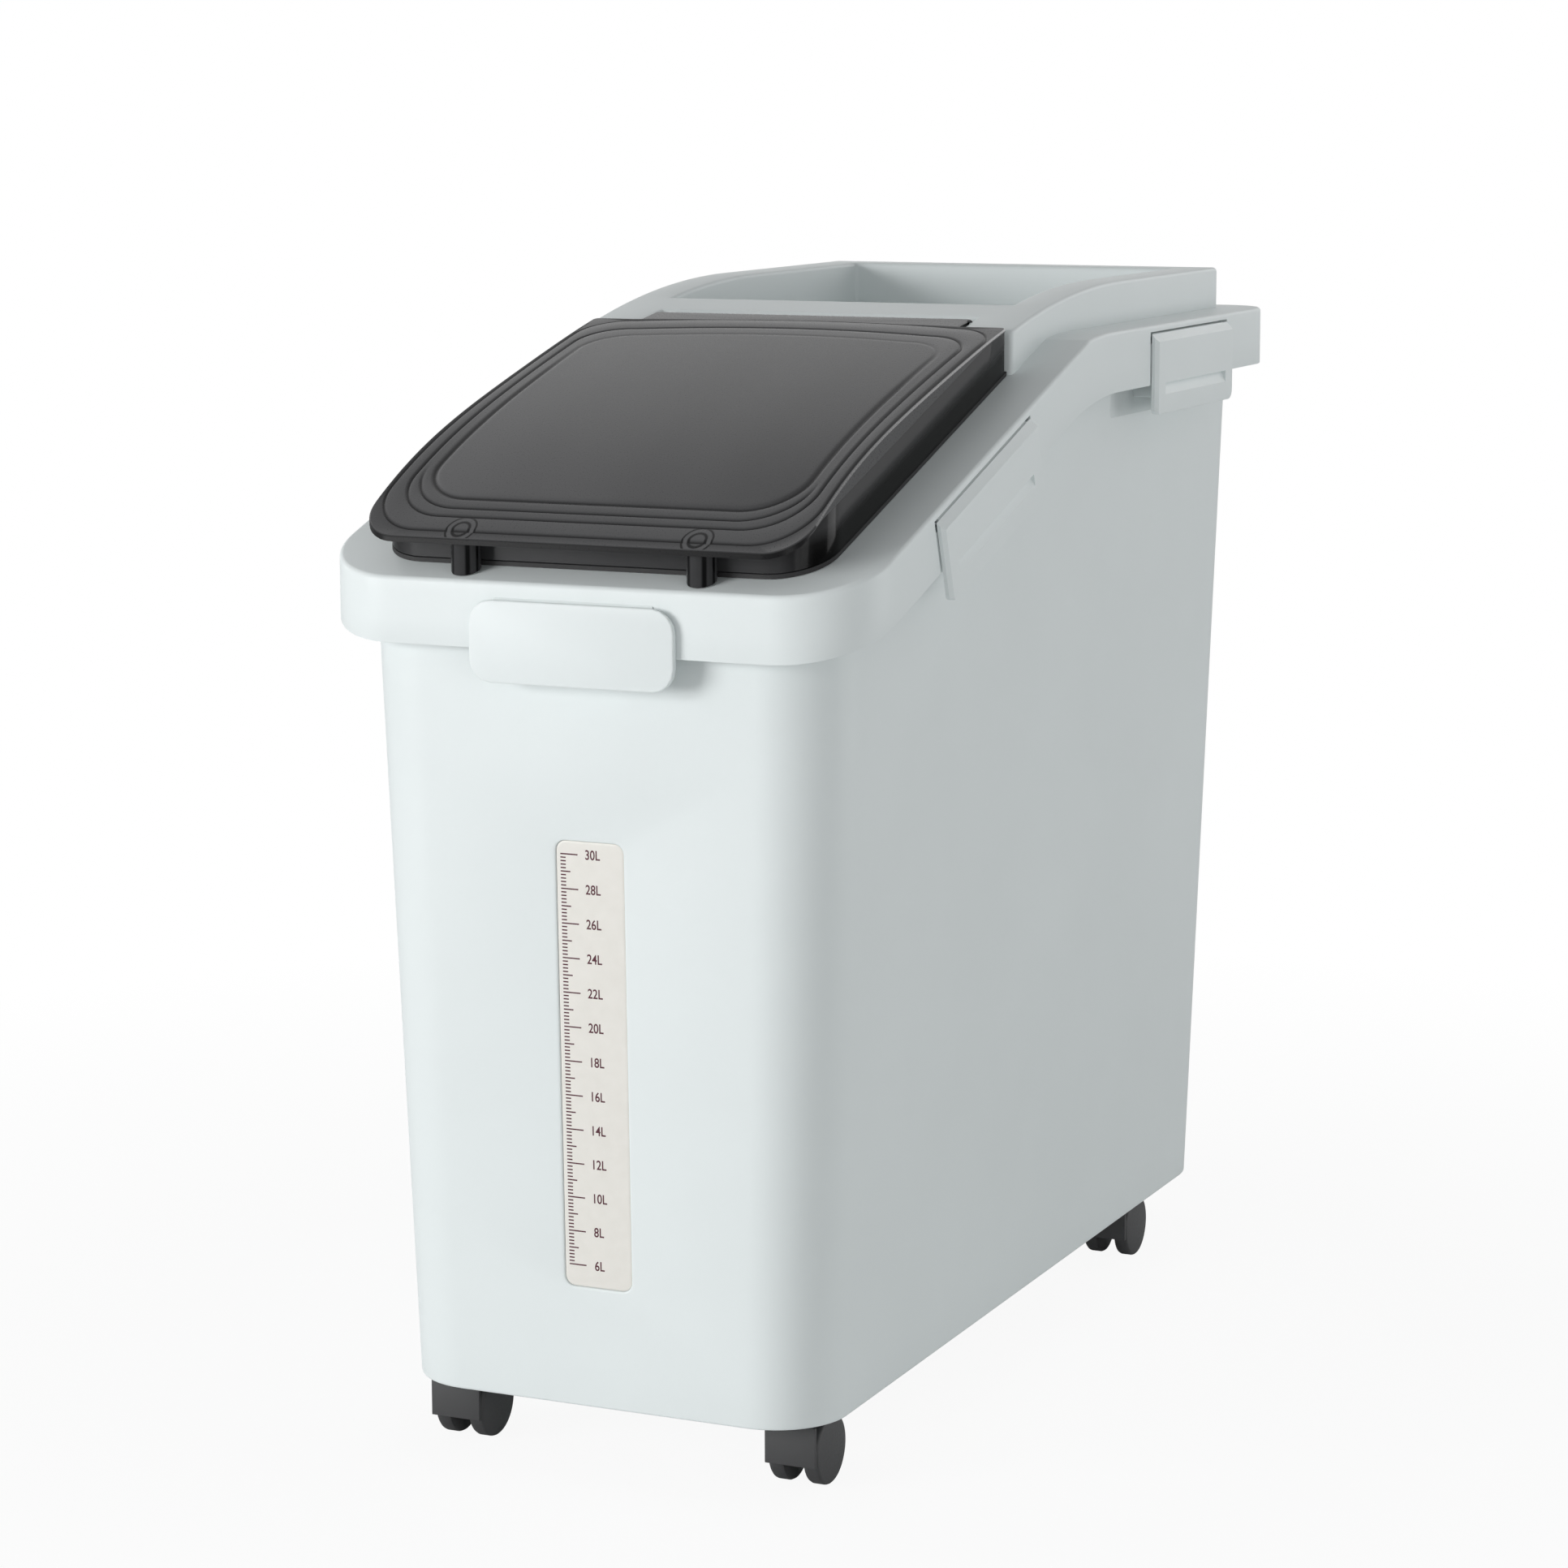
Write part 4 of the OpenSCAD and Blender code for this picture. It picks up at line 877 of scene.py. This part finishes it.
def latch_parts(hinge, length, tilt, hook_length):
    """Barrel, web and hook behind a latch's plate."""
    half = length / 2
    rod = lathe([(HINGE_BORE, -half), (HINGE_R, -half), (HINGE_R, half), (HINGE_BORE, half)], 24)
    rod = placed(rod, Matrix.Translation((-HINGE_IN, 0, -hinge)) @ Matrix.Rotation(math.radians(90), 4, "X"))
    web = block((-HINGE_IN, 1 - half, -hinge - HINGE_R + 0.3), (2.0, half - 1, -hinge - 1.2), 0.2)
    top = SKIRT_H * math.cos(tilt) + RIM_GAP + KEEPER_H + HOOK_GAP
    hook = block((-KEEPER_OUT - HOOK_GRIP, -hook_length / 2, -top - HOOK_H), (2.0, hook_length / 2, -top), 0.9)
    return merged(rod, web, hook)


def make_side_latch(name, side, seat):
    """Side latch: a bevelled plate with a finger groove, and what is behind it."""
    length, tilt = seat[1:]
    bottom, half, out = SKIRT_H * math.cos(tilt) + LATCH_HANG, length / 2, PASS_GAP + LATCH_T
    steps = [(PASS_GAP, (0.3, 0.3, 0, 0)), (PASS_GAP + 0.4, (0, 0, 0.55, 0.1)), (out - 1.9, (0, 0, 1.95, 0.15)),
             (out - 0.8, (0, 0, 3.1, 1.2)), (out - 0.3, (0.12, 0.12, 3.6, 1.65)),
             (out - 0.06, (0.4, 0.4, 3.85, 1.9)), (out, (0.8, 0.8, 4.1, 2.2))]
    plate = plate_rings(oblong(half, -bottom, -LATCH_TOP), (3.6, 5.6, 1.0, 0.8), steps)
    latch = thing(name + "_moulding", plate)
    # Finger groove with a slanted floor, deepest along its upper edge
    low, high, span = 10 - bottom, 16 - bottom, half - 12
    wedge = [(out + 0.6, low - 1.3), (out + 0.6, high), (out - 2.6, high), (out - 2.6, high - 0.6)]
    points = [(x, y, z) for y in (span, -span) for x, z in wedge]
    faces = [(3, 2, 1, 0), (4, 5, 6, 7)] + [((i + 1) % 4, 4 + (i + 1) % 4, 4 + i, i) for i in range(4)]
    cut(latch, (np.array(points), faces))
    joined(latch, latch_parts(SIDE_HINGE, length - 8, tilt, length - HOOK_SHORT))
    latch.data.transform(in_metres(latch_place(*seat, side)))
    if side < 0:
        latch.data.flip_normals()
    dress(latch, white, name, "white_shell", name, crease=10)


def make_front_latch():
    """Front latch: a plain plate with round corners, and what is behind it."""
    out = PASS_GAP + LATCH_T
    # The back of the upper edge is cut away, so that it clears the skirt as the plate swings
    steps = [(PASS_GAP, (0.3, 0.3, 2.2, 0.3)), (PASS_GAP + 1.9, (0, 0, 0.2, 0)), (out - 0.9, (0,) * 4),
             (out - 0.4, (0.12,) * 4), (out - 0.12, (0.42,) * 4), (out, (0.9,) * 4)]
    corners = oblong(PLATE_W / 2, -SKIRT_H - LATCH_HANG, -PLATE_TOP)
    plate = thing("front_latch_moulding", plate_rings(corners, (PLATE_R,) * 4, steps))
    joined(plate, latch_parts(PLATE_HINGE, PLATE_W - 2 * PLATE_R - 1.6, 0, PLATE_W - HOOK_SHORT))
    plate.data.transform(in_metres(FRONT_PLACE))
    dress(plate, white, "front_latch", "white_shell", "front_latch")


def make_window():
    """Sight window: a strip that fills the opening, on a flange inside the wall."""
    strip = window_shape(((0.02, 3.8), (0.02, 1.4), (0.2, 1.0), (0.7, 0.82), (1.4, 0.8)))
    flange = window_shape(((-FLANGE, 3.8), (-FLANGE, 2.65)))
    dress(thing("window_strip", merged(strip, flange)), strip_white, "bin", "window", "sight_window")


def make_scale():
    """Printed litre scale: ticks every fifth of a litre from a node tree, and a number every two litres."""
    sizes = {"Count": TICKS, "Spacing": TICK_STEP * MM, "Thickness": 0.64 * MM,
             "Short": 2.7 * MM, "Middle": 5.0 * MM, "Long": 8.9 * MM}
    tree = bpy.data.node_groups.new("scale_ticks", "GeometryNodeTree")
    tree.interface.new_socket("Geometry", in_out="OUTPUT", socket_type="NodeSocketGeometry")
    keys = {}
    for label in sizes:
        kind = "NodeSocketInt" if label == "Count" else "NodeSocketFloat"
        keys[label] = tree.interface.new_socket(label, in_out="INPUT", socket_type=kind).identifier
    given = add(tree, "NodeGroupInput").outputs
    offset = add(tree, "ShaderNodeCombineXYZ", {"Z": maths(tree, "MULTIPLY", given["Spacing"], -1.0)})
    line = add(tree, "GeometryNodeMeshLine", {"Count": given["Count"], "Offset": offset}, mode="OFFSET")
    # Every fifth tick is longer and every tenth the longest
    index = add(tree, "GeometryNodeInputIndex")
    length = given["Short"]
    for every, longer in ((5.0, "Middle"), (10.0, "Long")):
        hit = maths(tree, "LESS_THAN", maths(tree, "MODULO", index, every), 0.5)
        length = add(tree, "ShaderNodeMix", {"Factor": hit, "A": length, "B": given[longer]}, data_type="FLOAT")
    size = add(tree, "ShaderNodeCombineXYZ", {"X": length, "Y": 0.04 * MM, "Z": given["Thickness"]})
    bar = add(tree, "GeometryNodeMeshCube")
    shift = add(tree, "GeometryNodeTransform", {"Geometry": bar, "Translation": (0.5, 0.0, 0.0)})
    ticks = add(tree, "GeometryNodeInstanceOnPoints", {"Points": line, "Instance": shift, "Scale": size})
    real = add(tree, "GeometryNodeRealizeInstances", {"Geometry": ticks})
    inked = add(tree, "GeometryNodeSetMaterial", {"Geometry": real, "Material": ink})
    add(tree, "NodeGroupOutput", {"Geometry": inked})
    scale = thing("scale_print", (np.zeros((1, 3)), []))
    printer = scale.modifiers.new("ticks", "NODES")
    printer.node_group = tree
    for label, key in keys.items():
        printer[key] = sizes[label]
    settled(scale)
    scale.data.transform(Matrix.Translation((SCALE_LEFT * MM, 0, SCALE_TOP * MM)))
    work = bmesh.new()
    work.from_mesh(scale.data)
    for k in range(TICKS // TICKS_A_NUMBER + 1):
        litres = TOP_LITRES - 2 * k
        words = bpy.data.curves.new("litres", "FONT")
        words.body = f"{litres}L"
        words.size, words.extrude, words.offset, words.align_y = FIGURE_H * MM, 0.02 * MM, 0.09 * MM, "CENTER"
        number = in_scene("litres", words)
        flat = plain_mesh(number)
        # A single figure stands a little further right
        left, up = -2.0 if litres < 10 else -2.6, SCALE_TOP - TICKS_A_NUMBER * TICK_STEP * k
        flat.transform(Matrix.Translation((left * MM, 0, up * MM)) @ Matrix.Rotation(math.radians(90), 4, "X")
                       @ Matrix.Diagonal((FIGURE_SQUEEZE, 1, 1, 1)))
        work.from_mesh(flat)
        bpy.data.objects.remove(number)
        bpy.data.curves.remove(words)
        bpy.data.meshes.remove(flat)
    work.to_mesh(scale.data)
    work.free()
    # The print stands in the strip's face
    scale.data.transform(Matrix.Translation((0, SCALE_IN * MM, 0)))
    scale.data.transform(in_metres(WINDOW_PLACE))
    dress(scale, ink, "bin", "window")


def make_casters():
    """Casters: the solids' hoods with round edges, and turned wheels."""
    bore, rim, face = AXLE_R + 0.05, WHEEL_R, WHEEL_W
    turned = [(bore, 0), (rim - 1.6, 0), (rim - 0.5, 0.4), (rim, 1.4), (rim, face - 1.6),
              (rim - 0.25, face - 0.8), (rim - 0.8, face - 0.25), (rim - 1.6, face),
              (0.02, face), (0.02, face - 1.6), (bore, face - 1.6)]
    for spot, (x, y) in CASTERS.items():
        node = "caster_body_" + spot
        fork = in_scene("caster_fork_" + spot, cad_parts[node].data.copy())
        rounded(fork, 0.7, 3, 35, flatten=True)
        dress(fork, caster_grey, "caster_" + spot, "caster_plastic", node)
        for side in SIDES:
            outer = (side < 0) == (x < 0)
            name = f"wheel_{spot}_{'outer' if outer else 'inner'}"
            wheel = placed(lathe(turned, 72), sideways((x + side * WHEEL_SIDE, y - TRAIL, WHEEL_R), side))
            dress(thing(name + "_disc", wheel), wheel_grey, name, "wheel_plastic", name)


def finish_solids():
    """Finishes for the small solids that stay as they are."""
    for name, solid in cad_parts.items():
        if solid.hide_render:
            continue
        if "pin" in name or "axle" in name or "caster_stem" in name:
            finish = steel
        elif "seal" in name or "bumper" in name:
            finish = black_rubber
        else:
            finish = black_acetal
        shaded(solid, finish, 35)


def make_stage():
    """White floor, soft even fill and the lamps."""
    corners = ring(np.array(oblong(FLOOR_HALF, -FLOOR_HALF, FLOOR_HALF)), 0)
    floor = thing("floor", (corners, [(0, 1, 2, 3)]))
    made = bpy.data.materials.new("floor_white")
    tree = emptied(made)
    matt = add(tree, "ShaderNodeBsdfDiffuse", {"Color": srgb("F4F5F5")})
    glow = add(tree, "ShaderNodeEmission", {"Color": (1, 1, 1, 1), "Strength": 1.0})
    seen = add(tree, "ShaderNodeLightPath").outputs["Is Camera Ray"]
    # The floor turns wholly white away from the bin, so that it shows no horizon
    where = add(tree, "ShaderNodeTexCoord").outputs["Object"]
    far = add(tree, "ShaderNodeVectorMath", {0: where}, operation="LENGTH")
    share = maths(tree, "MULTIPLY", seen, ramp(tree, far, 0.35, 1.0, 0.92, 1.0))
    mix = add(tree, "ShaderNodeMixShader", {0: share, 1: matt, 2: glow})
    add(tree, "ShaderNodeOutputMaterial", {"Surface": mix})
    floor.data.materials.append(made)
    world = bpy.data.worlds.new("studio")
    bpy.context.scene.world = world
    tree = emptied(world)
    rays = add(tree, "ShaderNodeLightPath").outputs
    shiny = maths(tree, "MAXIMUM", rays["Is Glossy Ray"], rays["Is Transmission Ray"])
    shown = maths(tree, "MAXIMUM", rays["Is Camera Ray"], shiny)
    # Soft fill, a little weaker from overhead
    sky = add(tree, "ShaderNodeTexCoord").outputs["Generated"]
    aloft = add(tree, "ShaderNodeSeparateXYZ", {"Vector": sky}).outputs["Z"]
    strength = ramp(tree, aloft, 0.0, 1.0, 0.4, 0.28)
    fill = add(tree, "ShaderNodeBackground", {"Color": srgb("F4F6F7"), "Strength": strength})
    white_back = add(tree, "ShaderNodeBackground", {"Color": (1, 1, 1, 1), "Strength": 1.0})
    mix = add(tree, "ShaderNodeMixShader", {0: shown, 1: fill, 2: white_back})
    add(tree, "ShaderNodeOutputWorld", {"Surface": mix})
    for name, place, aim, wide, tall, power in LAMPS:
        lamp = bpy.data.lights.new(name, "AREA")
        lamp.shape, lamp.size, lamp.size_y, lamp.energy = "RECTANGLE", wide, tall, power
        lit = in_scene(name, lamp)
        lit.location = place
        lit.rotation_euler = (Vector(aim) - Vector(place)).to_track_quat("-Z", "Y").to_euler()


def make_camera():
    """Camera at the photograph's place, fitted on the tub's and the cover's edges."""
    back = Vector((math.sin(YAW) * math.cos(RISE), -math.cos(YAW) * math.cos(RISE), math.sin(RISE)))
    right = Vector((math.cos(YAW), math.sin(YAW), 0))
    up = back.cross(right)
    across = right * math.cos(ROLL) + up * math.sin(ROLL)
    above = up * math.cos(ROLL) - right * math.sin(ROLL)
    view = bpy.data.cameras.new("photo_view")
    view.sensor_width, view.lens, view.clip_end = SENSOR, SENSOR * FOCAL / PICTURE, 100.0
    eye = in_scene("photo_view", view)
    eye.matrix_world = Matrix.Translation(EYE) @ Matrix((across, above, back)).transposed().to_4x4()
    bpy.context.scene.camera = eye


make_camera()
make_tub()
make_cover()
make_lid()
for end, seat in (("front", FRONT_LATCH), ("rear", REAR_LATCH)):
    make_side_latch("latch_left_" + end, -1, seat)
    make_side_latch("latch_right_" + end, 1, seat)
make_front_latch()
make_window()
make_scale()
make_casters()
finish_solids()
make_stage()
bpy.context.scene.view_settings.view_transform = "Standard"
